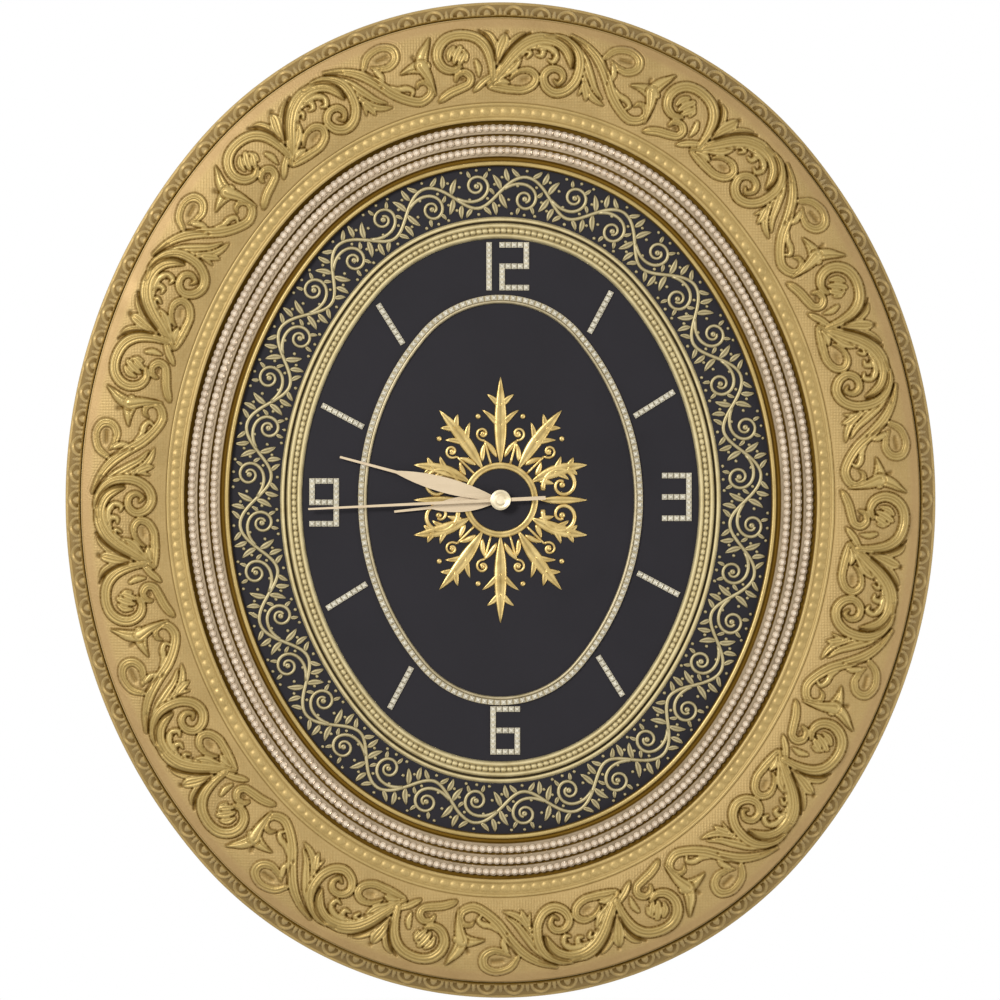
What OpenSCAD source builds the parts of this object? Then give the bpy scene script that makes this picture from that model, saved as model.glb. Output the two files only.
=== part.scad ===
// Oval gilt wall clock with stone-set dial and quartz movement, all sizes in millimetres.
// Every piece is drawn face up (x right, y up, z towards the viewer, wall at z = 0),
// then stood upright so that the keyhole of the hanger is the origin and the wall is the XZ plane.

/* [Oval] */
// Width of the frame
frame_w = 367; // [350:1:380]
// Height of the frame
frame_h = 420; // [405:1:440]
// Distance of the end arcs' centres from the middle, in halves of the height's surplus over the width
end_share = 1.585; // [1.3:0.005:2.2]

/* [Frame] */
// Width of the arched border
border_w = 6.1; // [4:0.1:8]
// Rise of the border from the side wall to the crown
border_rise = 8; // [4:0.5:12]
// Width of the groove inside the border
groove_w = 0.8; // [0.5:0.1:1.5]
// Depth of that groove
groove_d = 1; // [0.5:0.1:2]
// Width of the crowned leaf relief
crown_w = 35.9; // [30:0.1:40]
// Height of the crown over its edges
crown_rise = 2.4; // [1:0.1:3]
// Repeats of the leaf scroll round the crown
leaf_repeats = 11; // [10:1:12]
// Height of the highest leaves over the crown
leaf_rise = 2.1; // [1:0.1:2.4]
// Drop of the crown's outer edge below its inner edge
crown_drop = 0.9; // [0:0.1:3]
// Width of the ridges beside the pearl band
ridge_w = 1.4; // [0.8:0.1:2]
// Height of those ridges
ridge_h = 0.9; // [0.4:0.1:1.5]
// Width of the pearl band
pearl_w = 4.8; // [3:0.1:6]
// Height of the pearl band over the first stone terrace
pearl_rise = 2.4; // [1:0.1:4]
// Free strip before the first terrace
terrace_gap = 1.05; // [0.5:0.05:2]
// Width of one stone terrace
terrace_w = 4.7; // [4.4:0.1:6]
// Step down from one terrace to the next
terrace_drop = 0.8; // [0.2:0.1:1.2]
// Free strip before the lip ridge
lip_gap = 0.85; // [0.4:0.05:2]
// Width of the lip ridge
lip_w = 2.9; // [2:0.1:4]
// Height of the lip ridge over the last terrace
lip_h = 1; // [0.4:0.1:2]
// Thickness of the frame between the rebate and the last terrace
lip_t = 2; // [1.5:0.1:4]
// Overlap of the lip over the dial plate
rebate_w = 7.3; // [4:0.1:9]
// Width of the shelf that carries the retainer clips
shelf_w = 10; // [8:0.5:12]

/* [Stones] */
// Diameter of a frame stone
frame_stone_d = 2.6; // [2:0.1:2.8]
// Spacing of the frame stones along a row
frame_stone_pitch = 3; // [3:0.1:4]
// Width of the strip under a row of frame stones
strip_w = 3.6; // [3:0.1:4]
// Thickness of that strip
strip_t = 0.6; // [0.4:0.1:1]
// Diameter of a dial stone
dial_stone_d = 2.1; // [1.6:0.1:2.15]
// Height of a stone's cup
cup_h = 0.6; // [0.4:0.1:1]
// Height of a stone over its cup
stone_h = 0.9; // [0.5:0.1:1]

/* [Dial] */
// Thickness of the dial plate
dial_t = 2; // [1.5:0.1:4]
// Gap between the dial plate's edge and the rebate
edge_gap = 0.5; // [0.2:0.1:1]
// Free width of the black band
band_w = 21.3; // [18:0.1:24]
// Width of the dial trim
trim_w = 9.3; // [8:0.1:11]
// Height of the dial trim
trim_h = 2.2; // [1.5:0.1:2.5]
// Width of the dial ring between the trim and the centre ring
dial_ring_w = 23.6; // [21:0.1:26]
// Width of the centre ring's strip
ring_w = 4.2; // [3.6:0.1:5]
// Spacing of the centre ring's stones
ring_stone_pitch = 2.68; // [2.4:0.02:3.2]
// Column spacing of the stones in a numeral
digit_dx = 2.55; // [2.3:0.05:3]
// Row spacing of the stones in a numeral
digit_dy = 2.25; // [2.2:0.05:2.5]
// Shift of the 3 and the 9 outwards from the middle of the dial ring
numeral_shift = 2.5; // [0:0.1:2.8]
// Shift of the 12 and the 6 inwards from the middle of the dial ring
numeral_drop = 0.8; // [0:0.1:1.6]
// Stones in an hour bar
bar_stones = 8; // [6:1:8]
// Turn of the hour bars back from their hours
bar_turn = 2; // [0:0.5:4]
// Spacing of the stones in an hour bar
bar_pitch = 2.5; // [2.2:0.05:2.6]
// Thickness of the gilt ornament
ornament_t = 0.8; // [0.4:0.1:1]
// Repeats of the leaf vine on the band
vine_repeats = 36; // [24:2:44]
// Line width of the vine
vine_w = 1.3; // [0.8:0.1:2]
// Sway of the vine to either side of its line
vine_sway = 6.6; // [5:0.1:7]

/* [Hands] */
// Length of the hour hand
hour_l = 45; // [35:1:50]
// Length of the minute hand
minute_l = 70; // [60:1:76]
// Length of the second hand
second_l = 81; // [70:1:82]
// Length of the second hand's tail
tail_l = 19; // [10:1:25]
// Largest width of the hour and minute hands
blade_w = 6.5; // [4:0.1:8]
// Thickness of the hands
hand_t = 0.4; // [0.3:0.1:0.6]
// Diameter of the cap on the second hand
cap_d = 8.5; // [6:0.1:10]
// Gap between the dial ornament and the hour hand
hand_clear = 0.5; // [0.3:0.1:1]
// Gap between one hand and the next
hand_gap = 1; // [0.8:0.1:1.6]
// Clockwise angle of the hour hand from 12
hour_angle = 263.75; // [0:0.25:360]
// Clockwise angle of the minute hand from 12
minute_angle = 285; // [0:1:360]
// Clockwise angle of the second hand from 12
second_angle = 267.3; // [0:0.1:360]

/* [Board and clips] */
// Thickness of the backing board
board_t = 4.5; // [4:0.1:8]
// Depth of the nut's recess in the board
nut_recess = 2.7; // [2.6:0.1:3]
// Number of retainer clips
clip_count = 8; // [4:2:12]
// Length of a clip
clip_l = 16; // [14:0.5:20]
// Width of a clip
clip_w = 10; // [8:0.5:14]
// Thickness of a clip
clip_t = 1.2; // [0.8:0.1:2]
// Diameter of a clip screw
clip_screw_d = 2.4; // [2:0.1:3]
// Length of a clip screw under its head
clip_screw_l = 6; // [5:0.1:7]

/* [Hanger] */
// Distance of the keyhole below the top of the frame
hang_drop = 28; // [26:0.5:30]
// Length of the hanger plate
hanger_l = 62; // [56:1:80]
// Width of the hanger plate
hanger_w = 22; // [21:0.5:24]
// Thickness of the hanger plate
hanger_t = 2; // [1.5:0.1:3]
// Diameter of the keyhole's entry
keyhole_d = 9; // [7:0.5:10]
// Width of the keyhole's slot
slot_w = 4.4; // [3.5:0.1:4.4]
// Rise of the slot over the entry's centre
slot_l = 8; // [7:0.5:8.5]
// Depth of the pocket behind the keyhole
pocket_d = 10; // [8:0.5:14]
// Distance between the hanger screws
hanger_pitch = 46; // [42:1:50]
// Diameter of a hanger screw
hanger_screw_d = 3.4; // [3:0.1:4]
// Length of a hanger screw
hanger_screw_l = 14; // [10:0.5:18]

/* [Movement] */
// Gap between the movement and the wall
back_gap = 1; // [0.5:0.1:3]
// Thickness of the case
movement_t = 16; // [16:0.1:18]
// Wall of the case
case_wall = 1.2; // [1:0.1:1.4]
// Corner radius of the case
case_r = 4; // [3:0.5:6]
// Height of the rear shell
rear_h = 8; // [7.9:0.1:8.2]
// Diameter of the threaded bush
bush_d = 8; // [7.6:0.1:8.4]
// Thickness of the rubber washer
rubber_t = 0.5; // [0.3:0.1:1]
// Thickness of the steel washer
washer_t = 0.5; // [0.3:0.1:0.6]
// Thickness of the nut
nut_t = 2; // [1.5:0.1:2]
// Width of the nut across its flats
nut_af = 12; // [11:0.5:13]
// Diameter of the hour pipe
hour_pipe_d = 5.2; // [5:0.1:5.3]
// Diameter of the minute pipe
minute_pipe_d = 3.4; // [3:0.1:3.6]
// Diameter of the second arbor
second_arbor_d = 1.1; // [0.9:0.1:1.2]
// Diameter of the other arbors
arbor_d = 0.9; // [0.7:0.1:1]
// Radial clearance of what turns
run_gap = 0.05; // [0.02:0.01:0.08]
// Diameter of the battery
battery_d = 14.5; // [14:0.1:14.5]
// Length of the battery
battery_l = 50.5; // [49:0.1:50.5]
// Length of the bay's spring
spring_l = 2.5; // [2:0.1:4]
// Diameter of the setting knob
knob_d = 14; // [12:0.5:14]
// Thickness of the setting knob
knob_t = 3.2; // [2:0.1:3.4]
// Depth of the knob's well
well_d = 4.2; // [4:0.1:4.3]

/* [Gears] */
// Tooth module of the going train
train_module = 0.3; // [0.29:0.005:0.31]
// Tooth module of the rotor's pinion
rotor_module = 0.25; // [0.24:0.005:0.26]
// Tooth module of the motion work
motion_module = 0.4; // [0.39:0.005:0.41]
// Thickness of a wheel
wheel_t = 0.8; // [0.6:0.1:1]
// Thinning of a tooth for play
tooth_play = 0.05; // [0.03:0.01:0.07]

/* [Hidden] */
$fn = 64;

// Colours
GOLD = [0.66, 0.52, 0.31];
GILT = [0.80, 0.62, 0.30];
STONE = [0.86, 0.82, 0.74];
BLACK = [0.10, 0.10, 0.11];
CREAM = [0.86, 0.80, 0.66];
STEEL = [0.62, 0.63, 0.65];
BRASS = [0.78, 0.62, 0.32];
PLASTIC = [0.16, 0.16, 0.17];
NYLON = [0.90, 0.90, 0.86];
HARDBOARD = [0.45, 0.33, 0.22];
SLEEVE = [0.75, 0.55, 0.25];
GREEN = [0.12, 0.35, 0.20];
COPPER = [0.72, 0.36, 0.16];
MAGNET = [0.30, 0.30, 0.32];

// Oval of four arcs: its end arcs and its side arcs keep their centres at every inset
half_gap = (frame_h - frame_w) / 2;
end_centre = round(half_gap * end_share);
side_centre = half_gap * (2 * end_centre - half_gap) / (2 * (end_centre - half_gap));
end_r = frame_h / 2 - end_centre;
side_r = frame_w / 2 + side_centre;
side_half = atan2(end_centre, side_centre);
end_half = 90 - side_half;

// Lengths of half an end arc, of a side arc and of the whole oval at an inset
function end_run(inset) = (end_r - inset) * end_half * PI / 180;
function side_run(inset) = (side_r - inset) * 2 * side_half * PI / 180;
function oval_run(inset) = 4 * end_run(inset) + 2 * side_run(inset);

// Point and outward direction at a clockwise distance from the top: [x, y, angle]
function arc_point(centre, r, a) = [centre[0] + r * cos(a), centre[1] + r * sin(a), a];
function oval_half(inset, s) =
    s < end_run(inset)
    ? arc_point([0, end_centre], end_r - inset, 90 - s / (end_r - inset) * 180 / PI)
    : s < end_run(inset) + side_run(inset)
    ? arc_point([-side_centre, 0], side_r - inset,
        side_half - (s - end_run(inset)) / (side_r - inset) * 180 / PI)
    : arc_point([0, -end_centre], end_r - inset,
        -side_half - (s - end_run(inset) - side_run(inset)) / (end_r - inset) * 180 / PI);
function turned(p) = [-p[0], -p[1], p[2] + 180];
function oval_at(inset, s) =
    s < oval_run(inset) / 2
    ? oval_half(inset, s)
    : turned(oval_half(inset, s - oval_run(inset) / 2));

// Distance of the oval from the middle along a direction
function end_reach(inset, a) =
    end_centre * abs(sin(a)) + sqrt(max(0, pow(end_r - inset, 2) - pow(end_centre * cos(a), 2)));
function side_reach(inset, a) =
    sqrt(pow(side_r - inset, 2) - pow(side_centre * sin(a), 2)) - side_centre * abs(cos(a));
function on_end(inset, a) =
    atan2(end_reach(inset, a) * abs(sin(a)) - end_centre, end_reach(inset, a) * abs(cos(a))) >= side_half;
function oval_reach(inset, a) = on_end(inset, a) ? end_reach(inset, a) : side_reach(inset, a);

// Insets of the frame's steps
crown_in = border_w + groove_w;
pearl_in = crown_in + crown_w + ridge_w;
terrace_in = pearl_in + pearl_w + ridge_w;
lip_in = terrace_in + terrace_gap + 3 * terrace_w + lip_gap;
sight_in = lip_in + lip_w;
rebate_in = sight_in - rebate_w;
opening_in = rebate_in - shelf_w;
dial_in = rebate_in + edge_gap;
function row_in(row) = terrace_in + terrace_gap + (row + 0.5) * terrace_w;

// Insets on the dial
ring_margin = 0.35;
ring_wire_w = 1;
ring_wire_margin = 0.2;
trim_in = sight_in + band_w;
ring_in = trim_in + trim_w + dial_ring_w;
ring_stone_in = ring_in + dial_stone_d / 2 + ring_margin;
vine_in = sight_in + band_w / 2;

// Places of the numbers
dial_ring_mid = trim_in + trim_w + dial_ring_w / 2;
numeral_x = frame_w / 2 - dial_ring_mid + numeral_shift;
numeral_y = frame_h / 2 - dial_ring_mid - numeral_drop;
numeral_lift = 1;
six_lift = 0.4;
one_at = [-4.8, numeral_y + numeral_lift];
two_at = [5.8, numeral_y + numeral_lift];
three_at = [numeral_x, 1.3];
six_at = [2, six_lift - numeral_y];
nine_at = [-numeral_x, -1];
stone_sink = 0.1;

// Sizes of the leaf spray in the middle
hub_r = 13;
hub_w = 3;
spray_l = 37;
spray_w = 8;
vine_steps = 8;

// Heights of the stack, from the wall
case_z1 = back_gap + movement_t;
board_z0 = case_z1 + rubber_t;
board_z1 = board_z0 + board_t;
dial_z = board_z1 + dial_t;

// Heights of the frame
terrace_z = dial_z + lip_t + 2 * terrace_drop;
pearl_z = terrace_z + pearl_rise;
crown_z1 = pearl_z + ridge_h;
crown_z0 = crown_z1 - crown_drop;
side_h = crown_z0 - border_rise;
lip_z = dial_z + lip_t;
lip_slope = lip_w / 4;
crown_steps = 6;
leaf_l = 97;
leaf_h = 35.9;
leaf_sink = 0.6;
leaf_start = 34.4;
leaf_share = 0.57;
leaf_in = crown_in + leaf_share * crown_w;
leaf_pitch = oval_run(leaf_in) / leaf_repeats;
arc_steps = 22;

// Heights of the hands
hour_z = dial_z + ornament_t + hand_clear;
minute_z = hour_z + hand_t + hand_gap;
second_z = minute_z + hand_t + hand_gap;
cap_z = second_z + hand_t;
cap_t = 1.6;
dial_hole_gap = 0.8;
hour_boss_w = 1.3;
minute_boss_w = 1.7;
pipe_fit = 0.02;
needle_w = 1.4;
second_tip_w = 0.8;

// Place of the hanger
hang_y = frame_h / 2 - hang_drop;
fit_gap = 0.3;
screw_gap = 0.05;
sink_h = 1.7;
drive_w = 0.8;
drive_d = 0.8;

// Place of the clips
clip_in = opening_in + shelf_w / 2;
clip_out = shelf_w / 2 - 1;
clip_head_h = 1.8;

// Overshoot of a cut
cut = 1;

// Levels inside the movement, from the rear wall and from the front wall
case_in0 = back_gap + case_wall;
case_in1 = case_z1 - case_wall;
split_z = back_gap + rear_h;
step_z = case_in0 + 1.4;
second_wheel_z = case_in0 + 3.2;
third_z = case_in0 + 5.2;
bridge_z = case_in0 + 6.4;
bridge_t = 0.6;
centre_z = bridge_z + bridge_t + 0.4;
stator_gap = 0.1;
stator_z = back_gap + well_d + case_wall + stator_gap;
stator_t = 0.8;
hour_wheel_z = case_in1 - 2.4;
minute_wheel_z = hour_wheel_z - 1.8;
pinion_over = 0.3;
pinion_h = wheel_t + 2 * pinion_over;
bearing_r = 1.3;
pivot_depth = 0.4;
pivot_z = back_gap + 0.5;
bore_z = pivot_z - 0.1;
boss_z = minute_wheel_z + wheel_t + 0.6;
boss_drop = 2;
bush_top = board_z1 - 0.2;
bush_fit = 0.2;
hour_bore = hour_pipe_d / 2 + run_gap;
stud_r = 0.77;
stud_over = 0.4;
knob_shaft_r = 1.2;
clamp_z = board_z1 - nut_recess;

// Teeth
SECOND_TEETH = 40;
SECOND_LEAVES = 8;
STEP_TEETH = 48;
STEP_LEAVES = 8;
ROTOR_LEAVES = 8;
THIRD_TEETH = 60;
THIRD_LEAVES = 8;
CENTRE_TEETH = 64;
CANNON_TEETH = 12;
MINUTE_TEETH = 36;
MINUTE_LEAVES = 10;
HOUR_TEETH = 40;
KNOB_TEETH = 12;
PRESSURE = 30;
ADDENDUM = 0.8;
DEDENDUM = 1.15;

// Axes of the train, as seen face up
function gear_gap(n1, n2, m) = (n1 + n2) * m / 2;
function along(p, r, a) = [p[0] + r * cos(a), p[1] + r * sin(a)];
step_dir = 80;
rotor_dir = 60;
third_dir = 150;
minute_dir = 30;
knob_dir = -20;
step_at = along([0, 0], gear_gap(SECOND_TEETH, STEP_LEAVES, train_module), step_dir);
rotor_at = along(step_at, gear_gap(STEP_TEETH, ROTOR_LEAVES, rotor_module), rotor_dir);
third_gap = gear_gap(SECOND_LEAVES, THIRD_TEETH, train_module);
third_at = along([0, 0], third_gap, third_dir);
centre_module = 2 * third_gap / (THIRD_LEAVES + CENTRE_TEETH);
minute_gap = gear_gap(CANNON_TEETH, MINUTE_TEETH, motion_module);
minute_at = along([0, 0], minute_gap, minute_dir);
hour_module = 2 * minute_gap / (MINUTE_LEAVES + HOUR_TEETH);
knob_at = along(minute_at, gear_gap(MINUTE_TEETH, KNOB_TEETH, motion_module), knob_dir);

// Angle that puts a wheel in mesh with the wheel that stands at angle turn, seen along dir
function mesh_angle(dir, turn, n1, n2) = dir + 180 - 180 / n2 + (dir - turn) * n1 / n2;
step_turn = mesh_angle(step_dir, 0, SECOND_TEETH, STEP_LEAVES);
rotor_turn = mesh_angle(rotor_dir, 0, STEP_TEETH, ROTOR_LEAVES);
third_turn = mesh_angle(third_dir, 0, SECOND_LEAVES, THIRD_TEETH);
centre_turn = mesh_angle(third_dir + 180, 0, THIRD_LEAVES, CENTRE_TEETH);
minute_turn = mesh_angle(minute_dir, 0, CANNON_TEETH, MINUTE_TEETH);
hour_turn = mesh_angle(minute_dir + 180, 0, MINUTE_LEAVES, HOUR_TEETH);
knob_turn = mesh_angle(knob_dir, minute_turn, MINUTE_TEETH, KNOB_TEETH);

// Places in the case, which is as wide as its battery bay or its motor needs
contact_t = 0.5;
contact_gap = 0.1;
flange_r = 3.9;
coil_rise = 9.3;
coil_gap = 0.4;
coil_y = rotor_at[1] + coil_rise;
bay_need = battery_l + contact_t + contact_gap + spring_l + 2 * case_wall;
motor_need = 2 * (coil_y + flange_r + coil_gap + case_wall);
case_w = max(bay_need, motor_need);
half_case = case_w / 2;
bay_gap = 0.25;
battery_y = -half_case + case_wall + bay_gap + battery_d / 2;
battery_z = back_gap + 0.1 + battery_d / 2;
bay_y1 = battery_y + battery_d / 2 + bay_gap;
contact_w = 8;
contact_h = 10;
contact_z = back_gap + 3;
nub_l = 1;
nub_d = 5.5;
battery_x1 = half_case - case_wall - contact_t - contact_gap;
battery_x0 = battery_x1 - battery_l;
knob_z = back_gap + 0.4;
well_r = knob_d / 2 + 0.6;
well_floor = back_gap + well_d;
bridge_at = [-13, -9.5];
bridge_size = [24, 28];
pillars = [[9, -2.5], [-3.5, -7.5], [-4.5, 16.5]];
pillar_r = 1.2;
pin_r = 0.6;

// Motor
coil_l = 20;
core_w = 3.3;
core_gap = 0.1;
coil_x0 = rotor_at[0] - coil_l / 2;
stator_side = 3.75;
stator_y0 = rotor_at[1] - 4.5;
stator_x0 = coil_x0 - stator_side;
stator_l = coil_l + 2 * stator_side;
coil_z = stator_z + 1.5 * stator_t;
flange_t = 0.8;
spool_r = 2.4;
winding_r = 3.6;
magnet_r = 3;
air_gap = 0.5;

// Circuit
board_at = [2 - half_case, 9];
board_size = [13.5, 17];
rib_t = 2;
can_r = 1.5;
can_l = 8;
can_at = [3.5, 4];
chip_at = [8.5, 12];
chip_r = 3;
chip_h = 1.2;
circuit_t = 1;
circuit_z = case_in0 + 1;

// Stands the clock upright with the keyhole at the origin
module stand() {
    translate([0, 0, -hang_y])
        rotate([90, 0, 0])
            children();
}

// Sweeps a section, drawn as inset and height, round the whole oval
module sweep_arc(centre, r, from, sweep) {
    translate([centre[0], centre[1], 0])
        rotate([0, 0, from])
            rotate_extrude(angle = sweep)
                translate([r, 0])
                    mirror([1, 0])
                        children();
}
module oval_sweep() {
    sweep_arc([-side_centre, 0], side_r, -side_half, 2 * side_half) children();
    sweep_arc([0, end_centre], end_r, side_half, 2 * end_half) children();
    sweep_arc([side_centre, 0], side_r, 180 - side_half, 2 * side_half) children();
    sweep_arc([0, -end_centre], end_r, 180 + side_half, 2 * end_half) children();
}

// Moulded ring: a section of inset and height points, carried round the four arcs as one closed skin
function arc_stations(centre, r, from, sweep) = [for (i = [0:arc_steps - 1])
    [centre[0], centre[1], r, from + sweep * i / arc_steps]];
function oval_stations() = concat(
    arc_stations([-side_centre, 0], side_r, -side_half, 2 * side_half),
    arc_stations([0, end_centre], end_r, side_half, 2 * end_half),
    arc_stations([side_centre, 0], side_r, 180 - side_half, 2 * side_half),
    arc_stations([0, -end_centre], end_r, 180 + side_half, 2 * end_half));
function ring_points(section) = [for (place = oval_stations(), p = section)
    [place[0] + (place[2] - p[0]) * cos(place[3]), place[1] + (place[2] - p[0]) * sin(place[3]), p[1]]];
function ring_faces(count, rounds) = [for (i = [0:rounds - 1], j = [0:count - 1])
    let (i2 = (i + 1) % rounds, j2 = (j + 1) % count)
    [i * count + j, i * count + j2, i2 * count + j2, i2 * count + j]];
module oval_ring(section) {
    polyhedron(ring_points(section), ring_faces(len(section), 4 * arc_steps));
}

// Solid oval plate between two heights
module plate_arc(centre, r, from, sweep, z0, z1) {
    translate([centre[0], centre[1], z0])
        rotate([0, 0, from])
            rotate_extrude(angle = sweep)
                square([r, z1 - z0]);
}
module oval_plate(inset, z0, z1) {
    plate_arc([-side_centre, 0], side_r - inset, -side_half, 2 * side_half, z0, z1);
    plate_arc([side_centre, 0], side_r - inset, 180 - side_half, 2 * side_half, z0, z1);
    plate_arc([0, end_centre], end_r - inset, side_half, 2 * end_half, z0, z1);
    plate_arc([0, -end_centre], end_r - inset, 180 + side_half, 2 * end_half, z0, z1);
}

// Puts children at a point of the oval, with x pointing outwards
module on_oval(inset, s) {
    p = oval_at(inset, s);
    translate([p[0], p[1], 0])
        rotate([0, 0, p[2]])
            children();
}

// Height of the crown between the leaves
function crown_level(inset) =
    let (t = (inset - crown_in) / crown_w)
    crown_z0 + t * crown_drop + 4 * crown_rise * t * (1 - t);

// Leaf scroll of the crown: strokes of [share of the rise, section, knots of [x, y, half width]],
// where x runs clockwise and y inwards on a strip of leaf_l by leaf_h
BROAD = [[-1, 0], [-0.6, 1], [0.6, 1], [1, 0]];
KEEN = [[-1, 0], [0, 1], [1, 0]];
LEAVES = [
    [1, BROAD, [[59.5, 24, 1.2], [59, 17, 1.8], [57.5, 11.5, 2], [53, 7.6, 2], [47, 6.8, 2], [42, 9, 2],
        [39.8, 13.5, 1.9], [40.8, 18.2, 1.8], [44.5, 20.3, 1.7], [48.5, 19, 1.4], [49.8, 15.5, 0.8]]],
    [0.95, BROAD, [[56, 27.5, 0.8], [60, 25, 1.6], [64, 20.5, 2.2], [68, 15, 2.6], [72.5, 10.8, 2.6],
        [78, 8.6, 2.4], [83, 8.8, 2.3], [87.5, 11, 2.2], [90.3, 14.5, 1.9], [91.3, 18, 0.9]]],
    [0.95, BROAD, [[80, 7, 0.5], [86, 6.6, 1.1], [91, 9, 1.5], [94.3, 13, 1.6], [96, 18, 1.7], [95.4, 24, 1.8],
        [92, 28.6, 1.8], [87.5, 29.6, 1.8], [83.8, 27, 1.7], [83, 22.8, 1.5], [85.6, 19.6, 1.4],
        [89.4, 19.8, 1.3], [91.3, 22.8, 1.2], [89.8, 25.6, 1]]],
    [0.8, KEEN, [[90, 5.2, 0.8], [96, 8, 1.4], [102, 12.5, 1.8], [107.5, 19, 1.9], [112, 25, 1.9],
        [117.5, 29.6, 1.9], [123.5, 31.8, 1.8], [129, 30.4, 1.6], [131, 26.8, 1.4], [128.6, 24.2, 1.2]]],
    [0.75, KEEN, [[93, 9.5, 0.8], [97.5, 14.5, 1.3], [101, 20.5, 1.5], [105.5, 26, 1.4], [110.5, 29.8, 1.1],
        [115, 30.8, 0.6]]],
    [0.7, KEEN, [[8.5, 9.5, 1.3], [12.5, 6.4, 1.5], [17.5, 5.8, 1.6], [21.5, 8.6, 1.6], [21, 12.8, 1.5],
        [17, 15.2, 1.4], [12.5, 14.2, 1.1]]],
    [0.8, KEEN, [[60.5, 28.3, 1.1], [66, 29.2, 1.5], [72, 29.6, 1.6], [77, 28.8, 1.6], [79.4, 25.8, 1.5],
        [78.4, 22.8, 1.4], [75, 21.6, 1.3], [71.5, 22.6, 1.1]]],
    [0.8, KEEN, [[43, 25.5, 1.8], [45, 22.8, 1.4], [49, 22.2, 1.4], [51, 24.8, 1.6], [50, 28, 1.6],
        [46.5, 29.5, 1.4], [42, 30.5, 1.5], [37.5, 32.5, 1.8]]],
    [0.9, KEEN, [[20.5, 18.5, 0.8], [26, 17, 1.6], [32, 17, 2.2]]],
    [0.9, KEEN, [[30.6, 18, 2.2], [32.5, 11.5, 1.8], [36, 6.5, 0.8]]],
    [0.9, KEEN, [[30.6, 16, 2.2], [33.5, 22, 1.7], [36, 28, 0.8]]],
    [0.6, KEEN, [[62, 19, 1.2], [61.5, 12, 1.6], [59.5, 6.5, 1]]],
    [0.6, KEEN, [[62.3, 18, 1.2], [63.5, 12, 2], [65.5, 9.5, 1.2]]]];
function leaf_spot(x, y, up) =
    let (inset = crown_in + y * crown_w / leaf_h,
        p = oval_at(leaf_in, (leaf_start + x / leaf_l * leaf_pitch) % oval_run(leaf_in)))
    [p[0] + (leaf_in - inset) * cos(p[2]), p[1] + (leaf_in - inset) * sin(p[2]), crown_level(inset) + up];
function stroke_side(knots, i) =
    let (d = knots[min(i + 1, len(knots) - 1)] - knots[max(i - 1, 0)])
    [-d[1], d[0]] / norm([d[0], d[1]]);
function stroke_points(stroke, first) = [for (i = [0:len(stroke[2]) - 1], p = stroke[1])
    let (knot = stroke[2][i], side = p[0] * knot[2] * stroke_side(stroke[2], i))
    leaf_spot(first + knot[0] + side[0], knot[1] + side[1], p[1] > 0 ? stroke[0] * leaf_rise : -leaf_sink)];
function stroke_faces(count, rounds) = concat(
    [for (j = [1:count - 2]) [0, j, j + 1]],
    [for (j = [1:count - 2]) [0, j + 1, j] + (rounds - 1) * count * [1, 1, 1]],
    [for (i = [0:rounds - 2], j = [0:count - 1], half = [0, 1])
        let (a = i * count + j, b = i * count + (j + 1) % count)
        half == 0 ? [a, a + count, b + count] : [a, b + count, b]]);
module leaf_scroll() {
    for (unit = [0:leaf_repeats - 1], stroke = LEAVES)
        polyhedron(stroke_points(stroke, unit * leaf_l), stroke_faces(len(stroke[1]), len(stroke[2])));
}

// Section of the frame, from the wall round the front to the rebate
function crown_curve() = [for (i = [0:crown_steps])
    let (inset = crown_in + i / crown_steps * crown_w)
    [inset, crown_level(inset)]];
function terrace_steps() = [for (row = [0:2], side = [0:1])
    [terrace_in + (row + side > 0 ? terrace_gap : 0) + (row + side) * terrace_w,
        terrace_z - row * terrace_drop]];
function frame_section() = concat(
    [[0, 0], [0, side_h], [border_w, crown_z0], [border_w + groove_w / 2, crown_z0 - groove_d]],
    crown_curve(),
    [[pearl_in, crown_z1], [pearl_in, pearl_z], [pearl_in + pearl_w, pearl_z],
        [pearl_in + pearl_w, crown_z1], [terrace_in, crown_z1]],
    terrace_steps(),
    [[lip_in, lip_z], [lip_in + lip_slope, lip_z + lip_h],
        [sight_in - lip_slope, lip_z + lip_h], [sight_in, lip_z], [sight_in, dial_z],
        [rebate_in, dial_z], [rebate_in, board_z0], [opening_in, board_z0], [opening_in, 0]]);

module at_clips() {
    for (i = [0:clip_count - 1])
        on_oval(clip_in, (i + 0.5) * oval_run(clip_in) / clip_count)
            children();
}

module hanger_outline(grow) {
    square([hanger_l - hanger_w + 2 * grow, hanger_w + 2 * grow], center = true);
    for (side = [-1, 1])
        translate([side * (hanger_l - hanger_w) / 2, 0])
            circle(r = hanger_w / 2 + grow);
}
module at_hanger_screws() {
    for (side = [-1, 1])
        translate([side * hanger_pitch / 2, hang_y, 0])
            children();
}

module frame() {
    color(GOLD) stand() difference() {
        union() {
            oval_ring(frame_section());
            leaf_scroll();
        }
        at_clips()
            translate([0, 0, board_z0])
                cylinder(h = clip_screw_l, d = clip_screw_d + 2 * screw_gap);
        translate([0, hang_y, 0])
            linear_extrude(height = hanger_t)
                hanger_outline(fit_gap);
        translate([-hanger_pitch / 4, hang_y - keyhole_d, hanger_t])
            cube([hanger_pitch / 2, keyhole_d + slot_l + slot_w, pocket_d]);
        at_hanger_screws()
            cylinder(h = hanger_screw_l + cut, d = hanger_screw_d + 2 * screw_gap);
    }
}

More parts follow.
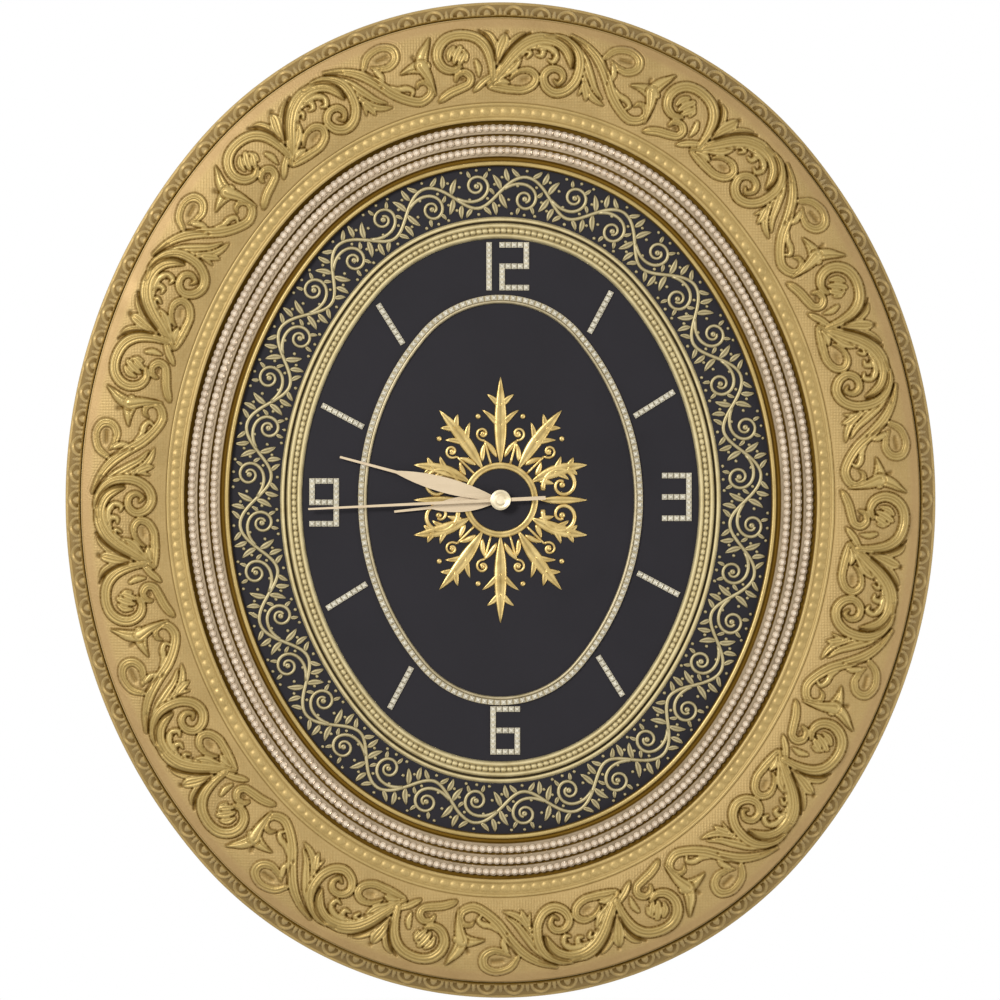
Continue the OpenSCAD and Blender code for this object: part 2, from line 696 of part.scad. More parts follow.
// One set stone: a cup with a cut stone on it
module stone(d) {
    cylinder(h = cup_h, d = d);
    translate([0, 0, cup_h])
        cylinder(h = stone_h, d1 = d, d2 = 0.6 * d);
}
module stones_on_oval(inset, z, pitch, d) {
    count = floor(oval_run(inset) / pitch);
    for (i = [0:count - 1])
        on_oval(inset, (i + 0.5) * oval_run(inset) / count)
            translate([0, 0, z])
                stone(d);
}
module stone_row(row) {
    z = terrace_z - row * terrace_drop;
    color(STONE) stand() {
        oval_sweep()
            translate([row_in(row) - strip_w / 2, z])
                square([strip_w, strip_t]);
        stones_on_oval(row_in(row), z + strip_t - stone_sink, frame_stone_pitch, frame_stone_d);
    }
}

module dial_plate() {
    color(BLACK) stand() difference() {
        oval_plate(dial_in, board_z1, dial_z);
        translate([0, 0, board_z1 - cut])
            cylinder(h = dial_t + 2 * cut, d = hour_pipe_d + 2 * dial_hole_gap);
    }
}

// Leaf between two points of x, made of two arcs
module leaf(length, width) {
    r = (pow(length / 2, 2) + pow(width / 2, 2)) / width;
    translate([length / 2, 0])
        intersection() {
            translate([0, r - width / 2])
                circle(r = r, $fn = 360);
            translate([0, width / 2 - r])
                circle(r = r, $fn = 360);
        }
}

// Waving stem, carried round the band as one closed ribbon
function vine_place(i) =
    let (s = i / vine_steps * oval_run(vine_in) / vine_repeats,
        p = oval_at(vine_in, s % oval_run(vine_in)),
        sway = vine_sway * sin(180 * i / vine_steps))
    [p[0] + sway * cos(p[2]), p[1] + sway * sin(p[2])];
function vine_rounds() = vine_steps * vine_repeats;
function vine_side(i) =
    let (d = vine_place((i + 1) % vine_rounds()) - vine_place((i + vine_rounds() - 1) % vine_rounds()))
    [-d[1], d[0]] / norm(d) * vine_w / 2;
function vine_edge(side) = [for (i = [0:vine_rounds() - 1]) vine_place(i) + side * vine_side(i)];
module vine_stem() {
    linear_extrude(height = ornament_t)
        polygon(points = concat(vine_edge(1), vine_edge(-1)),
            paths = [for (edge = [0:1])
                [for (i = [0:vine_rounds() - 1]) i + edge * vine_rounds()]]);
}

// Spray of three leaves that fills one bow of the stem
module vine_spray(pitch) {
    for (a = [-40, 0, 40])
        translate([-vine_sway * 1.1, 0, 0])
            rotate([0, 0, a])
                translate([vine_w, 0, 0])
                    linear_extrude(height = ornament_t)
                        leaf(vine_sway * (a == 0 ? 1.5 : 1.1), pitch / 8);
}
module band_ornament() {
    pitch = oval_run(vine_in) / vine_repeats;
    color(GILT) stand()
        translate([0, 0, dial_z]) {
            vine_stem();
            for (i = [0:vine_repeats - 1])
                on_oval(vine_in, (i + 0.5) * pitch)
                    rotate([0, 0, i % 2 == 0 ? 0 : 180])
                        vine_spray(pitch);
        }
}

// Trim: a fillet, a ridge, a bead channel and an inner ridge
TRIM_STEPS = [[0, 0], [0, 0.5], [0.1, 0.6], [0.2, 0.5], [0.25, 0.2], [0.3, 0.9], [0.42, 1], [0.52, 0.6],
    [0.75, 0.6], [0.84, 0.8], [0.96, 0.7], [1, 0]];
function trim_section() = [for (p = TRIM_STEPS) [trim_in + p[0] * trim_w, p[1] * trim_h]];
module dial_trim() {
    color(GILT) stand()
        translate([0, 0, dial_z])
            oval_ring(trim_section());
}

module centre_ring() {
    color(STONE) stand() {
        oval_sweep()
            translate([ring_in, dial_z])
                union() {
                    square([ring_w, strip_t]);
                    translate([ring_w - ring_wire_w - ring_wire_margin, strip_t])
                        square([ring_wire_w, strip_t]);
                }
        stones_on_oval(ring_stone_in, dial_z + strip_t - stone_sink, ring_stone_pitch, dial_stone_d);
    }
}

// Leaf spray above and below the hands, with a pair of bows at each side
module spray() {
    for (a = [-60, -30, 0, 30, 60])
        rotate(90 + a)
            translate([hub_r + hub_w / 3, 0])
                leaf(spray_l - abs(a) / 5, spray_w);
    intersection() {
        difference() {
            circle(r = hub_r + hub_w);
            circle(r = hub_r);
        }
        translate([-hub_r - hub_w, 0])
            square([2 * (hub_r + hub_w), hub_r + hub_w]);
    }
}
module centre_motif() {
    color(GILT) stand()
        translate([0, 0, dial_z])
            linear_extrude(height = ornament_t)
                for (turn = [0, 180])
                    rotate(turn)
                        spray();
}

// Stones of a digit in a grid of 5 columns and 9 rows: the bars that the digit uses
function bar_across(row) = [for (col = [0:4]) [col, row]];
function bar_up(col, from) = [for (row = [from + 1:from + 3]) [col, row]];
function digit_cells(bars) = concat(
    bar_across(0), bar_across(4), bar_across(8),
    [for (bar = bars) each bar_up(bar[0], bar[1])]);
module digit(cells) {
    for (cell = cells)
        translate([(cell[0] - 2) * digit_dx, (cell[1] - 4) * digit_dy, dial_z])
            stone(dial_stone_d);
}
UPPER_LEFT = [0, 4];
LOWER_LEFT = [0, 0];
UPPER_RIGHT = [4, 4];
LOWER_RIGHT = [4, 0];
module numeral(place, cells) {
    color(STONE) stand()
        at(place, 0)
            digit(cells);
}
module numeral_12() {
    color(STONE) stand() {
        at(one_at, 0)
            digit([for (row = [0:8]) [2, row]]);
        at(two_at, 0)
            digit(digit_cells([UPPER_RIGHT, LOWER_LEFT]));
    }
}

module hour_bars() {
    color(STONE) stand()
        for (hour = [1, 2, 4, 5, 7, 8, 10, 11])
            let (a = 90 - 30 * hour + bar_turn, mid = (oval_reach(ring_in, a) + oval_reach(trim_in + trim_w, a)) / 2)
            rotate([0, 0, a])
                for (i = [0:bar_stones - 1])
                    translate([mid + (i - (bar_stones - 1) / 2) * bar_pitch, 0, dial_z])
                        stone(dial_stone_d);
}

// Lancet hand along y: a leaf that runs out into a needle, and a boss round the pipe
module lancet(length, hole_d, boss_d) {
    difference() {
        union() {
            polygon([[-needle_w / 2, length * 0.4], [needle_w / 2, length * 0.4],
                [needle_w / 3, length], [-needle_w / 3, length]]);
            rotate(90)
                leaf(length * 0.68, blade_w);
            circle(d = boss_d);
        }
        circle(d = hole_d);
    }
}
module hour_hand() {
    color(CREAM) stand()
        translate([0, 0, hour_z])
            rotate([0, 0, -hour_angle])
                linear_extrude(height = hand_t)
                    lancet(hour_l, hour_pipe_d + 2 * pipe_fit, hour_pipe_d + 2 * hour_boss_w);
}
module minute_hand() {
    color(CREAM) stand()
        translate([0, 0, minute_z])
            rotate([0, 0, -minute_angle])
                linear_extrude(height = hand_t)
                    lancet(minute_l, minute_pipe_d + 2 * pipe_fit, minute_pipe_d + 2 * minute_boss_w);
}
module second_hand() {
    color(CREAM) stand()
        translate([0, 0, second_z])
            rotate([0, 0, -second_angle])
                linear_extrude(height = hand_t)
                    difference() {
                        union() {
                            polygon([[-second_tip_w, -tail_l], [second_tip_w, -tail_l],
                                [second_tip_w / 2, second_l], [-second_tip_w / 2, second_l]]);
                            circle(d = cap_d - 2);
                        }
                        circle(d = second_arbor_d + 2 * pipe_fit);
                    }
}
module second_hand_cap() {
    color(BRASS) stand()
        translate([0, 0, cap_z])
            rotate_extrude()
                polygon([[0, 0], [cap_d / 2, 0], [cap_d / 2, cap_t * 0.5], [cap_d * 0.4, cap_t * 0.8],
                    [cap_d * 0.3, cap_t * 0.6], [cap_d * 0.2, cap_t], [0, cap_t]]);
}

module backing_board() {
    recess_d = nut_af * 2 / sqrt(3) + 3;
    color(HARDBOARD) stand() difference() {
        oval_plate(dial_in, board_z0, board_z1);
        translate([0, 0, board_z0 - cut])
            cylinder(h = board_t + 2 * cut, d = bush_d + 2 * bush_fit);
        translate([0, 0, board_z1 - nut_recess])
            cylinder(h = nut_recess + cut, d = recess_d);
    }
}

module retainer_clips() {
    color(STEEL) stand()
        at_clips()
            translate([0, 0, board_z0 - clip_t])
                difference() {
                    translate([clip_out - clip_l, -clip_w / 2, 0])
                        cube([clip_l, clip_w, clip_t]);
                    translate([0, 0, -cut])
                        cylinder(h = clip_t + 2 * cut, d = clip_screw_d + 4 * screw_gap);
                }
}
module clip_screws() {
    color(STEEL) stand()
        at_clips()
            translate([0, 0, board_z0 - clip_t])
                difference() {
                    union() {
                        translate([0, 0, -clip_head_h])
                            cylinder(h = clip_head_h, d = 2.2 * clip_screw_d);
                        cylinder(h = clip_screw_l, d = clip_screw_d);
                    }
                    translate([-clip_screw_d, -drive_w / 2, -clip_head_h - cut])
                        cube([2 * clip_screw_d, drive_w, drive_d + cut]);
                }
}

module hanger_plate() {
    color(STEEL) stand() difference() {
        translate([0, hang_y, 0])
            linear_extrude(height = hanger_t)
                difference() {
                    hanger_outline(0);
                    circle(d = keyhole_d);
                    translate([-slot_w / 2, 0])
                        square([slot_w, slot_l]);
                    translate([0, slot_l])
                        circle(d = slot_w);
                }
        at_hanger_screws() {
            translate([0, 0, -cut])
                cylinder(h = hanger_t + 2 * cut, d = hanger_screw_d + 4 * screw_gap);
            cylinder(h = sink_h, d1 = 2 * hanger_screw_d + 4 * screw_gap,
                d2 = hanger_screw_d + 4 * screw_gap);
        }
    }
}
module hanger_screws() {
    color(STEEL) stand()
        at_hanger_screws()
            difference() {
                union() {
                    cylinder(h = sink_h, d1 = 2 * hanger_screw_d, d2 = hanger_screw_d);
                    translate([0, 0, sink_h])
                        cylinder(h = hanger_screw_l - sink_h, d = hanger_screw_d);
                }
                translate([-hanger_screw_d, -drive_w / 2, -cut])
                    cube([2 * hanger_screw_d, drive_w, drive_d + cut]);
            }
}

// Rounded square, drawn from squares and circles
module case_outline(inset) {
    half = half_case - inset;
    r = case_r - inset;
    square([2 * half, 2 * (half - r)], center = true);
    square([2 * (half - r), 2 * half], center = true);
    for (x = [-1, 1], y = [-1, 1])
        translate([x * (half - r), y * (half - r)])
            circle(r = r);
}
module case_shell(z0, z1) {
    translate([0, 0, z0])
        linear_extrude(height = z1 - z0)
            difference() {
                case_outline(0);
                case_outline(case_wall);
            }
    translate([-half_case + case_wall, bay_y1, z0])
        cube([case_w - 2 * case_wall, case_wall, z1 - z0]);
}
module at(p, z) {
    translate([p[0], p[1], z])
        children();
}

module movement_front_case() {
    color(PLASTIC) stand() difference() {
        union() {
            case_shell(split_z, case_in1);
            translate([0, 0, case_in1])
                linear_extrude(height = case_wall)
                    case_outline(0);
            translate([0, 0, case_z1])
                cylinder(h = bush_top - case_z1, d = bush_d);
            at(minute_at, minute_wheel_z - stud_over)
                cylinder(h = case_in1 - minute_wheel_z + stud_over, r = stud_r);
            at(third_at, boss_z - boss_drop)
                cylinder(h = case_in1 - boss_z + boss_drop, r = bearing_r);
            at(knob_at, boss_z)
                cylinder(h = case_in1 - boss_z, r = bearing_r);
        }
        translate([0, 0, split_z])
            cylinder(h = bush_top, r = hour_bore);
        at(third_at, boss_z - boss_drop - cut)
            cylinder(h = 2 * cut + 2 * pivot_depth, r = arbor_d / 2 + run_gap);
        at(knob_at, boss_z - cut)
            cylinder(h = cut + 2 * pivot_depth, r = arbor_d / 2 + run_gap);
    }
}

module movement_rear_case() {
    color(PLASTIC) stand() difference() {
        union() {
            case_shell(back_gap, split_z);
            translate([0, 0, back_gap])
                linear_extrude(height = case_wall)
                    case_outline(0);
            at(knob_at, back_gap)
                cylinder(h = well_d + case_wall, r = well_r + case_wall);
            for (p = [[0, 0], step_at, rotor_at, third_at])
                at(p, back_gap)
                    cylinder(h = case_wall + pivot_depth, r = bearing_r);
            for (p = pillars) {
                at(p, back_gap)
                    cylinder(h = bridge_z - back_gap, r = pillar_r);
                at(p, bridge_z)
                    cylinder(h = bridge_t, r = pin_r);
            }
            for (y = [board_at[1] + rib_t, board_at[1] + board_size[1] - 2 * rib_t])
                translate([-half_case + case_wall, y, back_gap])
                    cube([board_size[0] / 2, rib_t, circuit_z - back_gap]);
        }
        translate([-half_case + case_wall, -half_case + case_wall, back_gap - cut])
            cube([case_w - 2 * case_wall, bay_y1 + half_case - case_wall, case_wall + 2 * cut]);
        at(knob_at, back_gap - cut)
            cylinder(h = well_d + cut, r = well_r);
        at(knob_at, back_gap)
            cylinder(h = rear_h, r = knob_shaft_r + run_gap);
        at([0, 0], bore_z)
            cylinder(h = rear_h, r = second_arbor_d / 2 + run_gap);
        for (p = [step_at, rotor_at, third_at])
            at(p, bore_z)
                cylinder(h = case_wall + pivot_depth, r = arbor_d / 2 + run_gap);
    }
}

module train_bridge() {
    color(NYLON) stand() difference() {
        at(bridge_at, bridge_z)
            cube([bridge_size[0], bridge_size[1], bridge_t]);
        translate([0, 0, bridge_z - cut])
            cylinder(h = bridge_t + 2 * cut, r = minute_pipe_d / 2 + 0.3);
        for (p = [step_at, rotor_at, third_at])
            at(p, bridge_z - cut)
                cylinder(h = bridge_t + 2 * cut, r = arbor_d / 2 + run_gap);
        for (p = pillars)
            at(p, bridge_z - cut)
                cylinder(h = bridge_t + 2 * cut, r = pin_r + screw_gap);
    }
}

module rubber_washer() {
    color(PLASTIC) stand()
        at([0, 0], case_z1)
            difference() {
                cylinder(h = rubber_t, d = 2.5 * bush_d);
                translate([0, 0, -cut])
                    cylinder(h = rubber_t + 2 * cut, d = bush_d + bush_fit);
            }
}
module fixing_washer() {
    color(STEEL) stand()
        at([0, 0], clamp_z)
            difference() {
                cylinder(h = washer_t, d = nut_af + 2);
                translate([0, 0, -cut])
                    cylinder(h = washer_t + 2 * cut, d = bush_d + bush_fit);
            }
}
module fixing_nut() {
    color(BRASS) stand()
        at([0, 0], clamp_z + washer_t)
            difference() {
                cylinder(h = nut_t, d = nut_af * 2 / sqrt(3), $fn = 6);
                translate([0, 0, -cut])
                    cylinder(h = nut_t + 2 * cut, d = bush_d + 2 * pipe_fit);
            }
}

module battery() {
    color(SLEEVE) stand()
        translate([battery_x0, battery_y, battery_z])
            rotate([0, 90, 0]) {
                cylinder(h = battery_l - nub_l, d = battery_d);
                translate([0, 0, battery_l - nub_l])
                    cylinder(h = nub_l, d = nub_d);
            }
}
module battery_plus_contact() {
    color(STEEL) stand()
        translate([half_case - case_wall - contact_t, battery_y - contact_w / 2, contact_z])
            cube([contact_t, contact_w, contact_h]);
}
module battery_minus_contact() {
    x0 = -half_case + case_wall;
    reach = battery_x0 - x0 - contact_gap;
    color(STEEL) stand()
        translate([x0, battery_y + contact_w / 2, contact_z])
            rotate([90, 0, 0])
                linear_extrude(height = contact_w)
                    polygon([[0, 0], [contact_t, 0], [contact_t, contact_h - 2 * contact_t],
                        [reach, contact_h / 2], [reach, contact_h / 2 + 1.6 * contact_t],
                        [contact_t, contact_h], [0, contact_h]]);
}

module circuit_board() {
    color(GREEN) stand()
        at(board_at, circuit_z)
            cube([board_size[0], board_size[1], circuit_t]);
}
module quartz_can() {
    color(STEEL) stand()
        at(board_at + can_at, circuit_z + circuit_t + can_r)
            rotate([-90, 0, 0])
                cylinder(h = can_l, r = can_r);
}
module chip_blob() {
    color(PLASTIC) stand()
        at(board_at + chip_at, circuit_z + circuit_t)
            cylinder(h = chip_h, r1 = chip_r, r2 = 0.75 * chip_r);
}

module along_coil(x) {
    translate([x, coil_y, coil_z])
        rotate([0, 90, 0])
            children();
}
module coil_bobbin() {
    color(NYLON) stand() difference() {
        union() {
            along_coil(coil_x0)
                cylinder(h = coil_l, r = spool_r);
            for (x = [coil_x0, coil_x0 + coil_l - flange_t])
                along_coil(x)
                    cylinder(h = flange_t, r = flange_r);
        }
        translate([coil_x0 - cut, coil_y - core_w / 2 - core_gap, coil_z - stator_t / 2 - core_gap])
            cube([coil_l + 2 * cut, core_w + 2 * core_gap, stator_t + 2 * core_gap]);
    }
}
module coil_winding() {
    color(COPPER) stand()
        along_coil(coil_x0 + flange_t)
            difference() {
                cylinder(h = coil_l - 2 * flange_t, r = winding_r);
                translate([0, 0, -cut])
                    cylinder(h = coil_l, r = spool_r);
            }
}
module coil_core() {
    color(STEEL) stand()
        translate([stator_x0, coil_y - core_w / 2, coil_z - stator_t / 2])
            cube([stator_l, core_w, stator_t]);
}
module stator() {
    window_y = coil_y - flange_r - coil_gap;
    color(STEEL) stand()
        translate([0, 0, stator_z])
            linear_extrude(height = stator_t)
                difference() {
                    translate([stator_x0, stator_y0])
                        square([stator_l, coil_y + core_w / 2 - stator_y0]);
                    translate([coil_x0 - 0.3, window_y])
                        square([coil_l + 0.6, case_w]);
                    translate(rotor_at)
                        circle(r = magnet_r + air_gap);
                    translate(pillars[2])
                        circle(r = pillar_r + screw_gap);
                }
}

// Involute gear outline
function involute(a) = tan(a) - a * PI / 180;
function tooth_half(n, m, r) =
    let (base = n * m * cos(PRESSURE) / 2)
    ((PI / 2 - tooth_play / m) / n + involute(PRESSURE)
        - involute(acos(min(1, base / max(r, base))))) * 180 / PI;
function flank_radii(n, m) =
    let (r = n * m / 2, root = r - DEDENDUM * m, base = r * cos(PRESSURE))
    [root, base > root ? base : (root + r) / 2, r, r + ADDENDUM * m];
function gear_points(n, m) =
    let (radii = flank_radii(n, m))
    [for (tooth = [0:n - 1])
        each concat(
            [for (i = [0:3]) polar(radii[i], tooth * 360 / n - tooth_half(n, m, radii[i]))],
            [for (i = [3:-1:0]) polar(radii[i], tooth * 360 / n + tooth_half(n, m, radii[i]))])];
function polar(r, a) = [r * cos(a), r * sin(a)];
module gear(n, m, h) {
    linear_extrude(height = h)
        polygon(gear_points(n, m));
}

module rotor() {
    color(MAGNET) stand()
        at(rotor_at, 0)
            rotate([0, 0, rotor_turn]) {
                translate([0, 0, pivot_z])
                    cylinder(h = bridge_z + bridge_t - pivot_z, d = arbor_d);
                translate([0, 0, step_z - pinion_over])
                    gear(ROTOR_LEAVES, rotor_module, pinion_h);
                translate([0, 0, step_z + wheel_t + 0.5])
                    cylinder(h = bridge_z - step_z - wheel_t - 0.9, r = magnet_r);
            }
}
module step_wheel() {
    color(NYLON) stand()
        at(step_at, 0) {
            translate([0, 0, pivot_z])
                cylinder(h = bridge_z + bridge_t - pivot_z, d = arbor_d);
            translate([0, 0, step_z])
                gear(STEP_TEETH, rotor_module, wheel_t);
            translate([0, 0, second_wheel_z - pinion_over])
                rotate([0, 0, step_turn])
                    gear(STEP_LEAVES, train_module, pinion_h);
        }
}
module second_wheel() {
    color(NYLON) stand() {
        translate([0, 0, pivot_z])
            cylinder(h = cap_z - pivot_z, d = second_arbor_d);
        translate([0, 0, second_wheel_z])
            gear(SECOND_TEETH, train_module, wheel_t);
        translate([0, 0, third_z - pinion_over])
            gear(SECOND_LEAVES, train_module, pinion_h);
    }
}
module third_wheel() {
    color(NYLON) stand()
        at(third_at, 0) {
            translate([0, 0, pivot_z])
                cylinder(h = minute_wheel_z - pivot_z, d = arbor_d);
            translate([0, 0, third_z])
                rotate([0, 0, third_turn])
                    gear(THIRD_TEETH, train_module, wheel_t);
            translate([0, 0, centre_z - pinion_over])
                gear(THIRD_LEAVES, centre_module, pinion_h);
        }
}
module centre_wheel() {
    color(NYLON) stand() difference() {
        translate([0, 0, centre_z])
            rotate([0, 0, centre_turn])
                gear(CENTRE_TEETH, centre_module, wheel_t);
        translate([0, 0, centre_z - cut])
            cylinder(h = wheel_t + 2 * cut, r = minute_pipe_d / 2 + run_gap);
    }
}
module cannon_pinion() {
    color(BRASS) stand() difference() {
        union() {
            translate([0, 0, centre_z - 0.2])
                cylinder(h = minute_z + hand_t - centre_z + 0.2, d = minute_pipe_d);
            translate([0, 0, minute_wheel_z - pinion_over])
                gear(CANNON_TEETH, motion_module, pinion_h);
        }
        translate([0, 0, centre_z - cut])
            cylinder(h = minute_z, r = second_arbor_d / 2 + run_gap);
    }
}
module minute_wheel() {
    color(NYLON) stand()
        at(minute_at, 0)
            difference() {
                union() {
                    translate([0, 0, minute_wheel_z])
                        rotate([0, 0, minute_turn])
                            gear(MINUTE_TEETH, motion_module, wheel_t);
                    translate([0, 0, minute_wheel_z + wheel_t])
                        gear(MINUTE_LEAVES, hour_module, hour_wheel_z + pinion_over - minute_wheel_z);
                }
                translate([0, 0, minute_wheel_z - cut])
                    cylinder(h = case_in1, r = stud_r + run_gap);
            }
}
module hour_wheel() {
    color(NYLON) stand() difference() {
        union() {
            translate([0, 0, hour_wheel_z])
                rotate([0, 0, hour_turn])
                    gear(HOUR_TEETH, hour_module, wheel_t);
            translate([0, 0, hour_wheel_z])
                cylinder(h = hour_z + hand_t - hour_wheel_z, d = hour_pipe_d);
        }
        translate([0, 0, hour_wheel_z - cut])
            cylinder(h = hour_z, r = minute_pipe_d / 2 + run_gap);
    }
}
module setting_knob() {
    knurls = 24;
    knurl_r = 0.6;
    color(PLASTIC) stand()
        at(knob_at, 0) {
            translate([0, 0, knob_z])
                difference() {
                    cylinder(h = knob_t, d = knob_d);
                    for (i = [0:knurls - 1])
                        rotate([0, 0, i * 360 / knurls])
                            translate([knob_d / 2 + knurl_r / 2, 0, -cut])
                                cylinder(h = knob_t + 2 * cut, r = knurl_r);
                }
            translate([0, 0, knob_z + knob_t])
                cylinder(h = minute_wheel_z - knob_z - knob_t, r = knob_shaft_r);
            translate([0, 0, minute_wheel_z - pinion_over])
                rotate([0, 0, knob_turn])
                    gear(KNOB_TEETH, motion_module, pinion_h);
            translate([0, 0, minute_wheel_z])
                cylinder(h = wheel_t + 0.6 + pivot_depth, d = arbor_d);
        }
}

frame();
stone_row(0);  // stone_row_outer
stone_row(1);  // stone_row_middle
stone_row(2);  // stone_row_inner
dial_plate();
band_ornament();
dial_trim();
centre_ring();
centre_motif();
numeral_12();
numeral(three_at, digit_cells([UPPER_RIGHT, LOWER_RIGHT]));  // numeral_3
numeral(six_at, digit_cells([UPPER_LEFT, LOWER_LEFT, LOWER_RIGHT]));  // numeral_6
numeral(nine_at, digit_cells([UPPER_LEFT, UPPER_RIGHT, LOWER_RIGHT]));  // numeral_9
hour_bars();
hour_hand();
minute_hand();
second_hand();
second_hand_cap();
backing_board();
retainer_clips();
clip_screws();
hanger_plate();
hanger_screws();
movement_front_case();
movement_rear_case();
train_bridge();
rubber_washer();
fixing_washer();
fixing_nut();
battery();
battery_plus_contact();
battery_minus_contact();
circuit_board();
quartz_can();
chip_blob();
coil_bobbin();
coil_winding();
coil_core();
stator();
rotor();
step_wheel();
second_wheel();
third_wheel();
centre_wheel();
cannon_pinion();
minute_wheel();
hour_wheel();
setting_knob();
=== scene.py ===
import math

import bpy
import numpy as np
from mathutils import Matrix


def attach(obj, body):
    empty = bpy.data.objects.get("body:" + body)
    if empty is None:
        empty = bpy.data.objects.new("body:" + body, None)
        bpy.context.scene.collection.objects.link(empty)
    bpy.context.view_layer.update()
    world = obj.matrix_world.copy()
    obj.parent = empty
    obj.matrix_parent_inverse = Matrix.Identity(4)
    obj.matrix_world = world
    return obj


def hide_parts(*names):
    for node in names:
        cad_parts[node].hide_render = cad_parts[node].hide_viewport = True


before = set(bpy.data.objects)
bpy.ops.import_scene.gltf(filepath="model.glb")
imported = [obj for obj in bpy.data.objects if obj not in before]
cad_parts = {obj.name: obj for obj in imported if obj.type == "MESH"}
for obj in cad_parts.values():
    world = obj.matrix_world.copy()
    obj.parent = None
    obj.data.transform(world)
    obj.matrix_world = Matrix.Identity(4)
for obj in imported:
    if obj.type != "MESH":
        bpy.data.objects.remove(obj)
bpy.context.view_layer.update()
SCENE = bpy.context.scene
MM = 0.001

# Sizes in millimetres: right, up and towards the viewer, with the wall at 0
HANG_Y = 182.0
HALF_W, HALF_H, END_CENTRE = 183.5, 210.0, 42.0
HALF_GAP = HALF_H - HALF_W
SIDE_CENTRE = HALF_GAP * (2 * END_CENTRE - HALF_GAP) / (2 * (END_CENTRE - HALF_GAP))
END_R, SIDE_R = HALF_H - END_CENTRE, HALF_W + SIDE_CENTRE
SIDE_HALF = math.atan2(END_CENTRE, SIDE_CENTRE)
END_HALF = math.pi / 2 - SIDE_HALF
DIAL_Z = 24.0
BORDER_W, CROWN_IN, CROWN_OUT, PEARL_OUT = 6.1, 6.9, 42.8, 50.4
SIGHT_IN = 69.3
VINE_IN = SIGHT_IN + 10.65
TRIM_IN, TRIM_W = 90.6, 9.3
RING_IN, RING_W = 123.5, 4.2
# Repeats round each carved ring, and the line of the oval that they are measured along
ARCHES = 106
SCROLLS, SCROLL_LINE, SCROLL_START = 11, 27.3, 34.4
PEARLS, PEARL_LINE = 220, 46.6
BEADS, BEAD_LINE = 244, 96.4
# Heights of the border's slope, of the underside of the carved bands and of the stones' terraces
BORDER_LOW, BORDER_RISE, BORDER_RELIEF = 22.0, 8.0, 0.8
BAND_FLOOR = 28.6
TERRACE, TERRACE_DROP = 27.6, 0.8
ROW_FIRST, ROW_STEP = 53.8, 4.7
# Stones: cup and crown, pitch along each line, grid of the numbers, stones in a bar and its lean in degrees
STONE_CUP, STONE_CROWN = 0.6, 0.9
ROW_PITCH, RING_PITCH, BAR_PITCH = 3.0, 2.68, 2.5
CELL_W, CELL_H = 2.55, 2.25
BAR_STONES, BAR_LEAN = 8, 2
# Points round a plain strip
ROUNDS = 360
# Zone round the hanger's pockets, in metres from the keyhole
POCKET_W, POCKET_H, POCKET_DEEP = 34 * MM, 15 * MM, 15 * MM
# Surroundings: the light that falls on the clock, and what the camera and reflections see
FALLING_LIGHT, SEEN_LIGHT = 0.335, 1.0


def stand(points):
    """Face-up millimetres to the upright clock in metres."""
    p = np.asarray(points, float)
    return np.stack([p[..., 0], -p[..., 2], p[..., 1] - HANG_Y], -1) * MM


# The oval of four arcs, measured clockwise from the top
def oval_run(inset):
    return 4 * (END_R - inset) * END_HALF + 4 * (SIDE_R - inset) * SIDE_HALF


def even_runs(inset, count):
    return np.arange(count) * oval_run(inset) / count


def oval_rays(line, run):
    """Centre, outward direction and radius of the arc at each distance along a line of the oval."""
    half = oval_run(line) / 2
    run = np.mod(run, 2 * half)
    turned = run >= half
    run = run - half * turned
    end, side = (END_R - line) * END_HALF, (SIDE_R - line) * 2 * SIDE_HALF
    on_side, last = (run >= end) & (run < end + side), run >= end + side
    angle = np.where(on_side, SIDE_HALF - (run - end) / (SIDE_R - line),
                     np.where(last, -SIDE_HALF - (run - end - side) / (END_R - line),
                              math.pi / 2 - run / (END_R - line)))
    sign = np.where(turned, -1.0, 1.0)
    centre_x = np.where(on_side, -SIDE_CENTRE, 0.0) * sign
    centre_y = np.where(on_side, 0.0, np.where(last, -END_CENTRE, END_CENTRE)) * sign
    return centre_x, centre_y, np.cos(angle) * sign, np.sin(angle) * sign, np.where(on_side, SIDE_R, END_R)


def on_oval(line, run, inset, height):
    """Points at an inset and a height, on the rays through a line of the oval."""
    centre_x, centre_y, out_x, out_y, radius = oval_rays(line, np.asarray(run, float))
    reach = radius - inset
    return np.stack(np.broadcast_arrays(centre_x + reach * out_x, centre_y + reach * out_y, height), -1)


def oval_reach(inset, angle):
    """Distance of the oval from the middle along a direction."""
    c, s = abs(math.cos(angle)), abs(math.sin(angle))
    end = END_CENTRE * s + math.sqrt(max(0.0, (END_R - inset) ** 2 - (END_CENTRE * c) ** 2))
    side = math.sqrt((SIDE_R - inset) ** 2 - (SIDE_CENTRE * s) ** 2) - SIDE_CENTRE * c
    return end if math.atan2(end * s - END_CENTRE, end * c) >= SIDE_HALF else side


